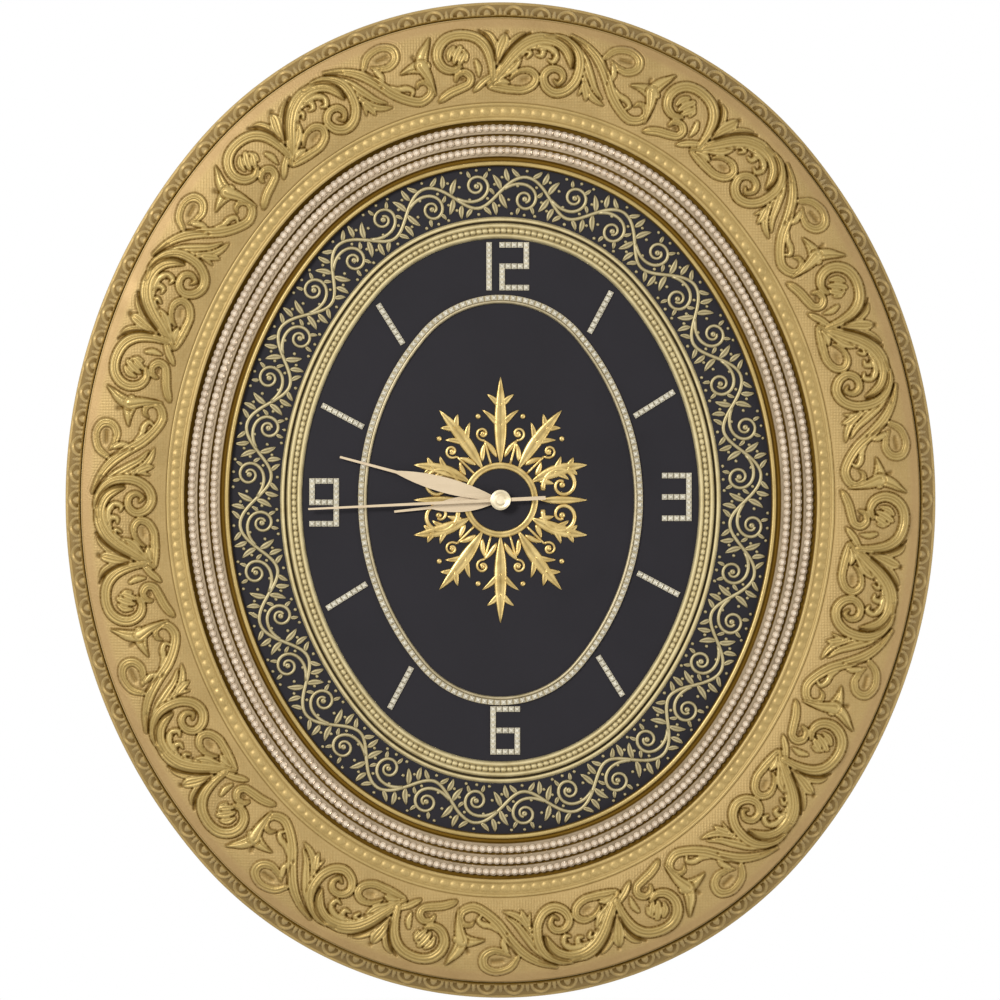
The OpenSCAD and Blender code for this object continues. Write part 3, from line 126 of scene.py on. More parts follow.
class Stock:
    """Collects the points and faces of one piece, in face-up millimetres."""

    def __init__(self):
        self.points, self.loops, self.sizes, self.slots, self.smooth = [], [], [], [], []
        self.marks = {}
        self.count = 0

    def add(self, points, loops, sizes, slot=0, smooth=True, **marks):
        points = np.asarray(points, float).reshape(-1, 3)
        for name in set(marks) | set(self.marks):
            held = self.marks.setdefault(name, [np.zeros(self.count)])
            held.append(np.broadcast_to(np.asarray(marks.get(name, 0.0), float).reshape(-1), len(points)))
        self.points.append(points)
        self.loops.append(np.asarray(loops) + self.count)
        self.sizes.append(np.asarray(sizes))
        self.slots.append(np.broadcast_to(slot, len(sizes)))
        self.smooth.append(np.broadcast_to(smooth, len(sizes)))
        self.count += len(points)

    def grid(self, points, closed_round=False, closed_across=False, slot=0, smooth=True, **marks):
        """Quads between rows of points, and a flat face over each open end of a closed section."""
        rounds, across = points.shape[:2]
        i = np.arange(rounds if closed_round else rounds - 1)[:, None]
        k = np.arange(across if closed_across else across - 1)[None, :]
        i2, k2 = (i + 1) % rounds, (k + 1) % across
        corners = (i * across + k, i * across + k2, i2 * across + k2, i2 * across + k)
        loops = np.stack(np.broadcast_arrays(*corners), -1).ravel()
        sizes = np.full(len(loops) // 4, 4)
        if closed_across and not closed_round:
            first = np.arange(across)[::-1]
            loops = np.concatenate([loops, first, np.arange(across) + (rounds - 1) * across])
            sizes = np.concatenate([sizes, [across, across]])
        self.add(points, loops, sizes, slot, smooth, **marks)

    def piece(self, name, slot, materials, replaces, normals=None):
        mesh = bpy.data.meshes.new(name)
        points, loops = np.concatenate(self.points), np.concatenate(self.loops)
        sizes = np.concatenate(self.sizes)
        mesh.vertices.add(len(points))
        mesh.vertices.foreach_set("co", stand(points).astype(np.float32).ravel())
        mesh.loops.add(len(loops))
        mesh.polygons.add(len(sizes))
        mesh.polygons.foreach_set("loop_start", np.concatenate([[0], np.cumsum(sizes)[:-1]]).astype(np.int32))
        mesh.polygons.foreach_set("vertices", loops.astype(np.int32))
        mesh.polygons.foreach_set("use_smooth", np.concatenate(self.smooth))
        mesh.polygons.foreach_set("material_index", np.concatenate(self.slots).astype(np.int32))
        mesh.update(calc_edges=True)
        mesh.validate()
        for mark, values in self.marks.items():
            layer = mesh.attributes.new(mark, "FLOAT", "POINT")
            layer.data.foreach_set("value", np.concatenate(values).astype(np.float32))
        if normals is not None:
            mesh.normals_split_custom_set_from_vertices((stand(normals) + [0, 0, HANG_Y * MM]).tolist())
        for material in materials:
            mesh.materials.append(material)
        made = bpy.data.objects.new(name, mesh)
        SCENE.collection.objects.link(made)
        settle(made, replaces)
        return made


def settle(piece, replaces):
    """Fixes a finished piece to the clock's body in place of a CAD node."""
    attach(piece, "clock_body")
    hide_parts(replaces)


class Wire:
    """A shader socket that takes part in sums."""

    def __init__(self, finish, socket):
        self.finish = finish
        self.socket = socket

    def maths(self, operation, *values):
        return self.finish.node("ShaderNodeMath", {"operation": operation}, dict(enumerate(values)))

    def __add__(self, other):
        return self.maths("ADD", self, other)

    def __sub__(self, other):
        return self.maths("SUBTRACT", self, other)

    def __rsub__(self, other):
        return self.maths("SUBTRACT", other, self)

    def __mul__(self, other):
        return self.maths("MULTIPLY", self, other)

    __radd__ = __add__
    __rmul__ = __mul__

    def sine(self):
        return self.maths("SINE", self)

    def clipped(self):
        return self.finish.node("ShaderNodeClamp", {}, {0: self})


class Finish:
    """A procedural material."""

    def __init__(self, name, **sockets):
        self.material = bpy.data.materials.new(name)
        self.material.use_nodes = True
        self.tree = self.material.node_tree
        self.shader = self.tree.nodes["Principled BSDF"]
        self.set(**sockets)

    def plug(self, socket, value):
        if isinstance(value, Wire):
            self.tree.links.new(value.socket, socket)
        elif socket.type == "RGBA":
            socket.default_value = (*value, 1.0)
        else:
            socket.default_value = value

    def set(self, **sockets):
        for name, value in sockets.items():
            self.plug(self.shader.inputs[name.replace("_", " ")], value)

    def node(self, kind, settings, sockets, out=0):
        made = self.tree.nodes.new(kind)
        for name, value in settings.items():
            setattr(made, name, value)
        for key, value in sockets.items():
            self.plug(made.inputs[key], value)
        return Wire(self, made.outputs[out])

    def place(self):
        return self.node("ShaderNodeTexCoord", {}, {}, "Object")

    def axis(self, name):
        return self.node("ShaderNodeSeparateXYZ", {}, {0: self.place()}, name)

    def noise(self, scale, detail=3.0, roughness=0.55, stretch=(1, 1, 1)):
        vector = self.place()
        if stretch != (1, 1, 1):
            vector = self.node("ShaderNodeMapping", {}, {"Vector": vector, "Scale": stretch})
        return self.node("ShaderNodeTexNoise", {},
                         {"Vector": vector, "Scale": scale, "Detail": detail, "Roughness": roughness})

    def mark(self, name):
        return self.node("ShaderNodeAttribute", {"attribute_name": name}, {}, "Fac")

    def mix(self, factor, first, second):
        return self.node("ShaderNodeMix", {"data_type": "RGBA"}, {0: factor, 6: first, 7: second}, 2)

    def stretched(self, value, low, high):
        """Spreads a range of a value over 0 to 1."""
        return self.node("ShaderNodeMapRange", {"clamp": True},
                         {"Value": value, "From Min": low, "From Max": high})

    def done(self, colour, roughness, relief, depth):
        """Sets the colour, the gloss and the fine relief, and hands over the material."""
        bump = self.node("ShaderNodeBump", {}, {"Height": relief, "Distance": depth, "Strength": 1.0})
        self.set(Base_Color=colour, Roughness=roughness, Normal=bump)
        return self.material


def antique_gold():
    """Matt bronze-gold paint with a brown wash left in the carving, darkened further there with painted
    shade, and bare foam at the back.
    """
    finish = Finish("antique_gold", Specular_IOR_Level=0.28)
    hollow, ground, raw = finish.mark("hollow"), finish.mark("ground"), finish.mark("raw")
    mottle = finish.stretched(finish.noise(70, 4), 0.32, 0.68)
    speck = finish.stretched(finish.noise(900, 2), 0.4, 0.72)
    x, z = finish.axis("X"), finish.axis("Z")
    hatch = ((x + z) * 2600).sine() * ((x - z) * 2600).sine()
    bright = finish.mix(mottle, (0.415, 0.293, 0.097), (0.50, 0.36, 0.128))
    dusky = finish.mix(mottle, (0.38, 0.257, 0.094), (0.455, 0.313, 0.122))
    base = finish.mix(finish.mark("blush"), bright, dusky)
    base = finish.mix(speck * 0.15, base, (0.60, 0.47, 0.22))
    base = finish.mix(finish.mark("rust"), base, (0.33, 0.195, 0.085))
    base = finish.mix(ground * (0.12 + 0.06 * hatch), base, (0.27, 0.17, 0.05))
    # Painted shade: recesses, creases and joins are darkened towards deep brown, partly the real brown wash
    # and partly the shade that falls there.
    recess_darkening = finish.stretched(hollow * (0.80 + 0.35 * mottle), 0.06, 0.75)
    base = finish.mix(recess_darkening, base, (0.14, 0.072, 0.004))
    pores = finish.stretched(finish.noise(1500, 2), 0.35, 0.6)
    foam = finish.mix(pores, (0.36, 0.26, 0.13), (0.55, 0.43, 0.24))
    finish.set(Metallic=(0.30 + 0.40 * recess_darkening) * (1 - raw))
    return finish.done(finish.mix(raw, base, foam),
                       0.30 + 0.12 * mottle + 0.16 * finish.mark("blush") + 0.22 * hollow + 0.2 * raw,
                       ground * hatch * 0.16 + 0.34 * finish.noise(1300, 2) + 0.6 * raw * pores, 0.00022)


def gilt(name, bright, deep, roughness):
    """Polished gilt metal, a little dull in its hollows and darkened there with painted shade."""
    finish = Finish(name, Metallic=0.85)
    hollow = finish.mark("hollow")
    cloud = finish.stretched(finish.noise(160, 3), 0.3, 0.7)
    base = finish.mix(cloud, deep, bright)
    # Painted shade: the sunk parts are darkened almost to black-brown.
    return finish.done(finish.mix((hollow * 0.95).clipped(), base, (0.055, 0.036, 0.013)),
                       roughness + 0.12 * cloud + 0.3 * hollow, finish.noise(1100, 2), 0.00006)


def glass_stone(name, pale, deep):
    """Foil-backed glass stone, each a little different."""
    finish = Finish(name, Metallic=0.25, Coat_Weight=0.6, Coat_Roughness=0.06)
    tint = finish.mark("tint")
    cloud = finish.noise(500, 2)
    base = finish.mix((0.75 * tint + 0.35 * cloud).clipped(), deep, pale)
    finish.set(Base_Color=base, Roughness=0.12 + 0.16 * cloud)
    return finish.material


def plain_metal(name, light, dark, roughness, scale, depth, stretch=(1, 1, 1)):
    """Metal with a fine drawn or rolled grain and dull patches."""
    finish = Finish(name, Metallic=0.9)
    patch = finish.stretched(finish.noise(120, 3), 0.3, 0.7)
    grain = finish.noise(scale, 2, 0.6, stretch)
    base = finish.mix(0.6 * patch + 0.4 * grain, dark, light)
    return finish.done(base, roughness + 0.16 * patch, grain, depth)


def plain_plastic(name, light, dark, roughness, scale, depth):
    """Moulded plastic or rubber with a fine spark-eroded grain."""
    finish = Finish(name)
    grain = finish.stretched(finish.noise(scale, 2), 0.35, 0.65)
    patch = finish.noise(90, 3)
    base = finish.mix(0.55 * grain + 0.45 * patch, dark, light)
    return finish.done(base, roughness + 0.14 * patch, grain, depth)


def dial_black():
    """Black sheet with a soft satin coat."""
    finish = Finish("dial_black", Specular_IOR_Level=0.16)
    haze = finish.stretched(finish.noise(24, 4), 0.3, 0.7)
    grain = finish.noise(2200, 2)
    base = finish.mix(0.6 * haze + 0.4 * grain, (0.0125, 0.0112, 0.0138), (0.0205, 0.0185, 0.0225))
    return finish.done(base, 0.52 + 0.12 * haze, grain, 0.00003)


def hardboard():
    """Pressed fibre board: smooth brown with pale and dark fibres."""
    finish = Finish("hardboard")
    fibre = finish.noise(420, 5, 0.7, (1, 1, 0.35))
    felt = finish.noise(38, 4)
    base = finish.mix(finish.stretched(fibre, 0.35, 0.65), (0.15, 0.085, 0.045), (0.33, 0.21, 0.12))
    return finish.done(finish.mix(felt * 0.4, base, (0.23, 0.14, 0.075)), 0.62 + 0.2 * fibre, fibre, 0.00012)


def wound_wire():
    """Fine enamelled copper wire in close turns."""
    finish = Finish("copper_wire", Metallic=0.85)
    turns = (finish.axis("X") * 21000).sine()
    # Painted shade and highlight: each turn runs from dark in the gap to bright on its crest.
    base = finish.mix(0.5 + 0.5 * turns, (0.20, 0.06, 0.02), (0.72, 0.30, 0.11))
    base = finish.mix(finish.noise(300, 2) * 0.4, base, (0.50, 0.19, 0.06))
    return finish.done(base, 0.3 + 0.1 * turns, turns, 0.00008)


def circuit_green():
    """Lacquered circuit board with tracks under the lacquer."""
    finish = Finish("board_green", Coat_Weight=0.5)
    tracks = finish.stretched((finish.axis("X") * 3100).sine() * (finish.axis("Z") * 900).sine(), 0.25, 0.4)
    cloud = finish.noise(200, 2)
    base = finish.mix(tracks, (0.012, 0.085, 0.035), (0.03, 0.16, 0.055))
    return finish.done(finish.mix(cloud * 0.3, base, (0.02, 0.11, 0.05)), 0.3 + 0.15 * cloud, tracks, 0.00004)


def battery_sleeve():
    """Printed cell sleeve: dark body with a bright copper end, both bare of words."""
    finish = Finish("battery_can", Coat_Weight=0.4)
    end = finish.stretched(finish.axis("X"), 0.010, 0.0105)
    scuff = finish.stretched(finish.noise(260, 3), 0.55, 0.75)
    body = finish.mix(scuff * 0.25, (0.018, 0.018, 0.022), (0.10, 0.10, 0.11))
    cap = finish.mix(scuff * 0.3, (0.58, 0.30, 0.11), (0.74, 0.48, 0.24))
    finish.set(Metallic=0.15 + 0.6 * end)
    return finish.done(finish.mix(end, body, cap), 0.26 + 0.25 * scuff, finish.noise(900, 2), 0.00003)


def hand_cream():
    """Satin champagne lacquer on a brushed blade."""
    finish = Finish("hand_cream", Metallic=0.25)
    brush = finish.noise(900, 3, 0.6, (0.1, 1, 1))
    cloud = finish.noise(80, 3)
    base = finish.mix(0.5 * brush + 0.5 * cloud, (0.56, 0.43, 0.27), (0.72, 0.585, 0.40))
    return finish.done(base, 0.38 + 0.14 * brush, brush, 0.00005)


ANTIQUE_GOLD = antique_gold()
GILT = gilt("gilt", (0.60, 0.515, 0.30), (0.47, 0.385, 0.20), 0.58)
GILT_PALE = gilt("gilt_pale", (0.44, 0.375, 0.215), (0.34, 0.28, 0.145), 0.46)
GILT_DULL = gilt("gilt_dull", (0.46, 0.39, 0.25), (0.33, 0.27, 0.15), 0.42)
GILT_DEEP = gilt("gilt_deep", (0.70, 0.53, 0.22), (0.48, 0.33, 0.11), 0.28)
CAP_GOLD = gilt("cap_gold", (0.84, 0.74, 0.53), (0.70, 0.58, 0.36), 0.30)
ROW_STONE = glass_stone("row_stone", (0.86, 0.72, 0.55), (0.66, 0.53, 0.39))
DIAL_STONE = glass_stone("dial_stone", (0.82, 0.77, 0.62), (0.64, 0.59, 0.46))
ROW_SETTING = plain_metal("row_setting", (0.40, 0.31, 0.21), (0.26, 0.19, 0.12), 0.36, 700, 0.00004)
ROW_STRIP = plain_metal("row_strip", (0.36, 0.28, 0.185), (0.24, 0.18, 0.11), 0.40, 700, 0.00004)
DIAL_SETTING = plain_metal("dial_setting", (0.60, 0.54, 0.40), (0.46, 0.40, 0.28), 0.30, 700, 0.00004)
ZINC_STEEL = plain_metal("zinc_steel", (0.62, 0.62, 0.62), (0.40, 0.40, 0.41), 0.30, 500, 0.00006,
                         (0.2, 1, 1))
NUT_BRASS = plain_metal("nut_brass", (0.72, 0.50, 0.20), (0.50, 0.33, 0.12), 0.28, 600, 0.00005)
MAGNET = plain_metal("magnet", (0.20, 0.20, 0.21), (0.10, 0.10, 0.11), 0.42, 900, 0.00006)
CASE_BLACK = plain_plastic("case_black", (0.030, 0.030, 0.032), (0.016, 0.016, 0.018), 0.42, 1800, 0.00008)
WHITE_NYLON = plain_plastic("white_nylon", (0.78, 0.77, 0.72), (0.64, 0.63, 0.58), 0.40, 1200, 0.00005)
RUBBER = plain_plastic("rubber_black", (0.035, 0.034, 0.033), (0.018, 0.018, 0.018), 0.68, 1500, 0.00008)
CHIP = plain_plastic("chip_resin", (0.022, 0.021, 0.022), (0.010, 0.010, 0.011), 0.22, 700, 0.00004)

CARRIED = {
    dial_black(): ["dial_plate"],
    hand_cream(): ["hour_hand", "minute_hand", "second_hand"],
    CAP_GOLD: ["second_hand_cap"],
    hardboard(): ["backing_board"],
    ZINC_STEEL: ["retainer_clips", "clip_screws", "hanger_plate", "hanger_screws", "fixing_washer",
                 "battery_plus_contact", "battery_minus_contact", "quartz_can", "coil_core", "stator"],
    CASE_BLACK: ["movement_front_case", "movement_rear_case"],
    WHITE_NYLON: ["train_bridge", "coil_bobbin", "step_wheel", "second_wheel", "third_wheel", "centre_wheel",
                  "cannon_pinion", "minute_wheel", "hour_wheel", "setting_knob"],
    RUBBER: ["rubber_washer"],
    NUT_BRASS: ["fixing_nut"],
    battery_sleeve(): ["battery"],
    circuit_green(): ["circuit_board"],
    CHIP: ["chip_blob"],
    wound_wire(): ["coil_winding"],
    MAGNET: ["rotor"],
}
for material, names in CARRIED.items():
    for name in names:
        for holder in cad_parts[name].material_slots:
            holder.material = material


# Carving: a height field over one repeat of a moulding, worked stroke by stroke
def smooth_line(knots, step=0.35):
    """Points of a curve through knots of x, y and half width."""
    knots = np.array(knots, float)
    path = np.vstack([2 * knots[0] - knots[1], knots, 2 * knots[-1] - knots[-2]])
    pieces = []
    for a, b, c, d in zip(path, path[1:], path[2:], path[3:]):
        t = np.linspace(0, 1, max(2, int(np.hypot(*(c - b)[:2]) / step)), endpoint=False)[:, None]
        pieces.append((2 * b + (c - a) * t + (2 * a - 5 * b + 4 * c - d) * t ** 2
                       + (3 * b - a - 3 * c + d) * t ** 3) / 2)
    return np.vstack(pieces + [knots[-1:]])


class Carving:
    """One repeat of a carved moulding: x along it, y across it."""

    VEIN_WIDTH, VEIN_DEPTH = 0.34, 0.6
    RIB_PITCH, RIB_REACH = 1.25, 1.5

    def __init__(self, length, columns, rows):
        self.length = length
        self.x = np.arange(columns) * length / columns
        self.y = np.asarray(rows, float)
        self.height = np.zeros((columns, len(rows)))
        self.bare = np.ones_like(self.height)
        # Painted shade: dark lines along veins, moats and cuts, where shade falls.
        self.painted_shade_lines = np.zeros_like(self.height)

    def near(self, line, reach):
        """Gap to a stroke's edge, signed share of its half width and half width, for each copy of it."""
        ahead = np.gradient(line[:, :2], axis=0)
        for shift in (-self.length, 0.0, self.length):
            low, high = line[:, 0].min() + shift - reach, line[:, 0].max() + shift + reach
            cols = np.flatnonzero((self.x > low) & (self.x < high))
            if len(cols) == 0:
                continue
            away = np.hypot(self.x[cols, None, None] - line[:, 0] - shift, self.y[None, :, None] - line[:, 1])
            best = np.argmin(away - line[:, 2], -1)
            away = np.take_along_axis(away, best[..., None], -1)[..., 0]
            off_x, off_y = self.x[cols, None] - line[best, 0] - shift, self.y[None, :] - line[best, 1]
            hand = np.sign(ahead[best, 0] * off_y - ahead[best, 1] * off_x)
            yield cols, away - line[best, 2], hand * away / line[best, 2], line[best, 2]

    def press(self, knots, top, dig=0.45, veins=(), moat=0.45, echo=0.15):
        """Raises a rounded stroke with veins along it, a narrow moat round it and faint ribs beside it, and
        paints shade in the veins and the moat.
        """
        line = smooth_line(knots)
        for cols, gap, share, width in self.near(line, 5.0):
            rise = top * (0.3 + 0.7 * np.sqrt(np.clip(1 - share ** 2, 0, 1)))
            groove = np.zeros_like(rise)
            for vein in veins:
                groove = np.maximum(groove, np.exp(-((share - vein) * width / self.VEIN_WIDTH) ** 2))
            ditch = np.exp(-(np.maximum(gap, 0) / moat) ** 2)
            rib = echo * np.cos(gap * 2 * math.pi / self.RIB_PITCH) * np.exp(-(gap / self.RIB_REACH) ** 2)
            self.height[cols] = np.where(gap < 0, rise - self.VEIN_DEPTH * groove,
                                         self.height[cols] - dig * ditch - rib)
            self.painted_shade_lines[cols] = np.where(gap < 0, 0.55 * groove, np.maximum(self.painted_shade_lines[cols], 0.26 * ditch))
            self.bare[cols] = np.where(gap < 0.2, 0.0, self.bare[cols])

    def cut(self, knots, depth):
        """Cuts a soft groove or pit, and paints shade in it."""
        x, y, width = knots[0]
        line = smooth_line(knots if len(knots) > 1 else knots + [(x + 0.1, y, width)])
        for cols, gap, share, width in self.near(line, 4.0):
            self.height[cols] -= depth * np.exp(-share ** 2)
            self.painted_shade_lines[cols] = np.maximum(self.painted_shade_lines[cols], 0.6 * depth * np.exp(-share ** 2))

    def blurred(self, field, times):
        for _ in range(times):
            field = (np.roll(field, 1, 0) + 2 * field + np.roll(field, -1, 0)) / 4
            wide = np.pad(field, ((0, 0), (1, 1)), mode="edge")
            field = (wide[:, :-2] + 2 * field + wide[:, 2:]) / 4
        return field

    def finish(self, soften, reach, depth):
        """Softens the carving and marks the hollows that keep the brown wash and the painted shade."""
        self.height = self.blurred(self.height, soften)
        below = self.blurred(self.height, reach) - self.height
        self.hollow = np.maximum(np.clip(below / depth, 0, 1), self.blurred(self.painted_shade_lines, 1))
        self.bare = self.blurred(self.bare, 1)
        return self

    def repeated(self, count):
        """Height and hollows of a whole ring, and how far round each column is."""
        height, hollow = (np.tile(field, (count, 1)) for field in (self.height, self.hollow))
        return height, hollow, np.arange(len(height)) * self.length / len(self.x)


def leaf_scroll():
    """Acanthus scroll of the crown: x clockwise, y inwards from the border."""
    art = Carving(oval_run(SCROLL_LINE) / SCROLLS, 340, np.linspace(0.7, 36.1, 120))
    press, cut = art.press, art.cut
    press([(7.5, 10.6, 1.2), (10.5, 6.6, 1.5), (16, 4.9, 1.6), (20.3, 7, 1.7), (20.6, 11.2, 1.7),
           (17.2, 13.8, 1.6), (12.5, 13, 1.2), (10.5, 11.5, 0.7)], 1.3, veins=(-0.25, 0.45))
    press([(11.5, 13.5, 1.0), (12.8, 16.5, 1.3), (12.6, 20, 0.5)], 1.2)
    press([(13.5, 21.3, 0.9), (17.5, 24, 1.3), (21.3, 24.6, 1.3), (23.8, 26.4, 1.0), (22.6, 28.4, 0.6)], 1.3)
    for knots in ([(96.5, 13, 0.7), (98.4, 18.5, 1.3), (99, 24, 1.3), (97.8, 29, 0.5)],
                  [(98.5, 22, 1.2), (101, 26, 1.7), (105, 28.8, 1.4), (109.6, 30.2, 0.5)],
                  [(99, 24.5, 1.2), (100.8, 28, 1.3), (101.6, 30.4, 0.5)]):
        press(knots, 1.3, veins=(0.0,))
    press([(93, 9.5, 0.8), (97, 14, 1.4), (100.5, 19.5, 1.6), (104, 24.6, 1.3), (108, 27.8, 0.6)], 1.4,
          veins=(0.2,))
    press([(90, 5.2, 0.8), (96, 8, 1.4), (102, 12.5, 1.9), (107.5, 19, 2.1), (112, 25, 2.1),
           (117.5, 29.4, 2.0), (123, 31.6, 1.9), (127.6, 30, 1.8), (128.9, 26.8, 1.6), (127.2, 24.2, 1.3),
           (124.2, 24, 1.0), (122.8, 25.6, 0.6)], 1.6, veins=(-0.35, 0.3))
    for knots in ([(60.6, 20, 0.8), (60.8, 14, 1.5), (58.6, 8.6, 1.6), (56.4, 6.2, 0.6)],
                  [(61.5, 19.5, 0.8), (65.2, 13.5, 1.7), (69.4, 8.8, 1.4), (72, 6.6, 0.5)],
                  [(61, 20, 0.8), (62.6, 14, 2.0), (64, 10, 2.0), (64.4, 7.8, 0.8)]):
        press(knots, 1.2, 0.5, (-0.3, 0.3))
    press([(58.2, 29.4, 1.3), (62, 29.9, 1.9), (67, 30.6, 1.8), (72.6, 30.6, 1.7), (77, 28.3, 1.7),
           (78, 24.8, 1.6), (75.4, 22.4, 1.5), (71.4, 22.6, 1.2), (68.4, 24.4, 1.0), (67, 26.2, 0.6)], 1.7,
          veins=(-0.45, 0.2))
    press([(60, 27.6, 1.2), (63.5, 27.2, 1.4), (66.3, 27.8, 0.6)], 1.5)
    press([(59.5, 27.3, 0.8), (64.5, 24.2, 1.4), (68.6, 21, 1.6), (70.4, 16.8, 1.1), (70.2, 14.6, 0.5)], 1.6,
          veins=(0.0,))
    for knots in ([(66.5, 19, 1.2), (70, 16.5, 1.3), (72.8, 14, 1.2), (74.7, 15, 1.0), (73.6, 17, 0.6)],
                  [(72, 13, 1.3), (76.6, 11.8, 1.4), (79.6, 13, 1.3), (79.4, 15.6, 1.0), (77.4, 15.6, 0.6)],
                  [(78.4, 11.4, 1.3), (83, 12.2, 1.4), (85.2, 14.8, 1.3), (84.4, 17.6, 1.0),
                   (82.4, 17, 0.6)]):
        press(knots, 1.6)
    press([(57, 29, 0.8), (60.5, 25.4, 1.6), (64.5, 20.4, 2.2), (68.6, 15, 2.6), (73, 10.8, 2.7),
           (78.5, 8.4, 2.5), (84, 8.6, 2.3), (88.4, 11, 2.1), (91, 14.8, 1.7), (92, 18.4, 0.7)], 2.0,
          veins=(-0.5, -0.05, 0.4))
    press([(80, 7, 0.5), (86, 6.6, 1.1), (91, 9, 1.5), (94.3, 13, 1.7), (95.6, 18, 1.9), (95, 24, 2.0),
           (91.8, 28.6, 2.0), (87, 30.2, 2.0), (82.6, 28, 1.9), (81.3, 23.8, 1.7), (83.8, 20.6, 1.6),
           (87.8, 20.6, 1.5), (89.6, 23.4, 1.3), (88, 26.2, 1.0), (86, 25, 0.6)], 2.0, veins=(-0.3, 0.4))
    press([(52.5, 18.4, 0.9), (53.4, 21.4, 1.4), (53.2, 24.8, 0.6)], 1.3)
    for knots in ([(41.4, 16.8, 0.7), (42.2, 13.8, 1.4), (44, 11.8, 0.9)],
                  [(48.4, 18.2, 0.6), (48.6, 15.6, 1.2), (47.8, 13.4, 0.7)],
                  [(43.4, 18.2, 0.8), (44.8, 15.2, 1.7), (46.6, 12.2, 1.1)],
                  [(45.6, 18.8, 0.9), (47, 16.6, 1.4), (48.2, 14.6, 0.9)]):
        press(knots, 1.4, veins=(0.0,))
    press([(43.2, 25.6, 0.9), (44.2, 23.4, 1.3), (47.4, 22.8, 1.5), (49.6, 25, 1.7), (48.6, 27.8, 1.7),
           (45, 29.2, 1.8), (40.5, 30.4, 1.8), (36.6, 32, 1.6), (34.4, 33.2, 0.8)], 1.7, veins=(-0.25, 0.4))
    press([(58.8, 24.8, 1.0), (55, 27.4, 1.5), (52.4, 29.5, 1.3), (50.5, 31.1, 0.5)], 1.5, veins=(0.0,))
    press([(59.2, 25.5, 1.2), (58.8, 18.6, 1.9), (56.8, 12.6, 2.1), (53, 8.6, 2.1), (47.5, 6.9, 2.1),
           (42, 7.6, 2.1), (38.2, 11, 2.1), (37, 15.5, 2.0), (38.6, 19.6, 1.9), (42.2, 21.4, 1.6),
           (45.6, 20.2, 1.0)], 2.1, veins=(-0.35, 0.3))
    for knots in ([(20.8, 18.2, 0.4), (25, 17.4, 1.6), (29.5, 17.2, 2.9), (31.5, 17.6, 2.2)],
                  [(29.8, 17, 2.6), (31.4, 12.6, 2.1), (33.8, 8.8, 1.1), (35.2, 6.4, 0.4)],
                  [(30, 17.2, 2.6), (31.6, 22, 1.9), (32.6, 26.5, 1.0), (33, 30.2, 0.4)]):
        press(knots, 1.9, veins=(0.35,))
    for knots, depth in (([(54.3, 5.6, 0.5), (57.4, 8.6, 0.7), (59.6, 13.5, 0.7), (60.4, 18.5, 0.5)], 1.3),
                         ([(62.6, 19.4, 0.6), (66.4, 13.6, 0.8), (70.4, 9.2, 0.8), (74, 6.4, 0.5)], 1.3),
                         ([(84, 6.6, 0.5), (89, 9, 0.6), (92, 13, 0.6), (92.6, 17, 0.6)], 0.9),
                         ([(92.8, 18.3, 1.0)], 0.9), ([(90, 6.3, 0.6), (96, 8.6, 0.6)], 0.8),
                         ([(65, 6.6, 0.9)], 1.0), ([(71, 17, 0.8)], 0.9), ([(78, 13.4, 0.7)], 0.9),
                         ([(84, 14.8, 0.7)], 0.9), ([(27.3, 12.6, 0.9), (27.8, 14.6, 0.6)], 0.9),
                         ([(8, 12.5, 0.5), (9.6, 15.5, 0.6), (11, 19, 0.5)], 0.8), ([(11.3, 21, 0.7)], 0.8),
                         ([(13.5, 9.6, 1.0), (17.4, 9.2, 1.1)], 0.9),
                         ([(45.6, 25.6, 0.7), (46.6, 25.5, 0.7)], 0.9),
                         ([(72, 26.4, 1.3), (74, 26, 1.3)], 0.7)):
        cut(knots, depth)
    art.height = np.clip(art.height, -1.0, 2.05)
    return art.finish(1, 6, 0.62)


def arch_border():
    """Arches with a drop inside each and a dart between them, along the outer slope."""
    art = Carving(oval_run(0) / ARCHES, 30, np.linspace(0, BORDER_W - 0.3, 20))
    middle = art.length / 2
    art.press([(0, 5.6, 0.8), (0, 4.0, 0.9), (0, 2.0, 0.25)], 0.66, 0.35, moat=0.4, echo=0)
    arch = ((-4.1, 5.7), (-3.7, 3.7), (-2.2, 2.0), (0, 1.4), (2.2, 2.0), (3.7, 3.7), (4.1, 5.7))
    art.press([(middle + x, y, 0.62) for x, y in arch], 0.8, 0.45, moat=0.4, echo=0)
    art.press([(middle, 5.6, 1.5), (middle, 4.6, 1.4), (middle, 3.2, 0.5)], 0.75, 0.4, moat=0.4, echo=0)
    art.finish(1, 3, 0.20)
    art.hollow *= 0.42
    art.height = np.clip(art.height, -0.4, 0.8)
    art.height[:, :2] = 0.7
    art.hollow[:, :3] = 0.05
    # The groove at the inner edge is sunk and darkened with wash and painted shade.
    art.height[:, -2:] = -0.2
    art.hollow[:, -2:] = 0.75
    return art


def pearl_rows():
    """Flattened pearls in a channel between two ridges."""
    art = Carving(oval_run(PEARL_LINE) / PEARLS, 12, np.linspace(CROWN_OUT, PEARL_OUT, 24))
    for ridge in (43.5, 49.6):
        art.height += 0.95 * np.sqrt(np.clip(1 - ((art.y - ridge) / 0.9) ** 2, 0, 1))
    away = np.hypot((art.x[:, None] - art.length / 2) / 1.7, (art.y - 46.5) / 1.5)
    art.height = np.maximum(art.height, 0.42 * np.sqrt(np.clip(1 - away ** 2, 0, 1)))
    # Painted shade in the low parts between the pearls and the ridges.
    art.hollow = np.clip(0.18 - art.height / 1.2, 0, 0.18)
    return art


def crown_ground(inset):
    t = (inset - CROWN_IN) / (CROWN_OUT - CROWN_IN)
    return 30.0 + 0.9 * t + 4 * 2.4 * t * (1 - t)


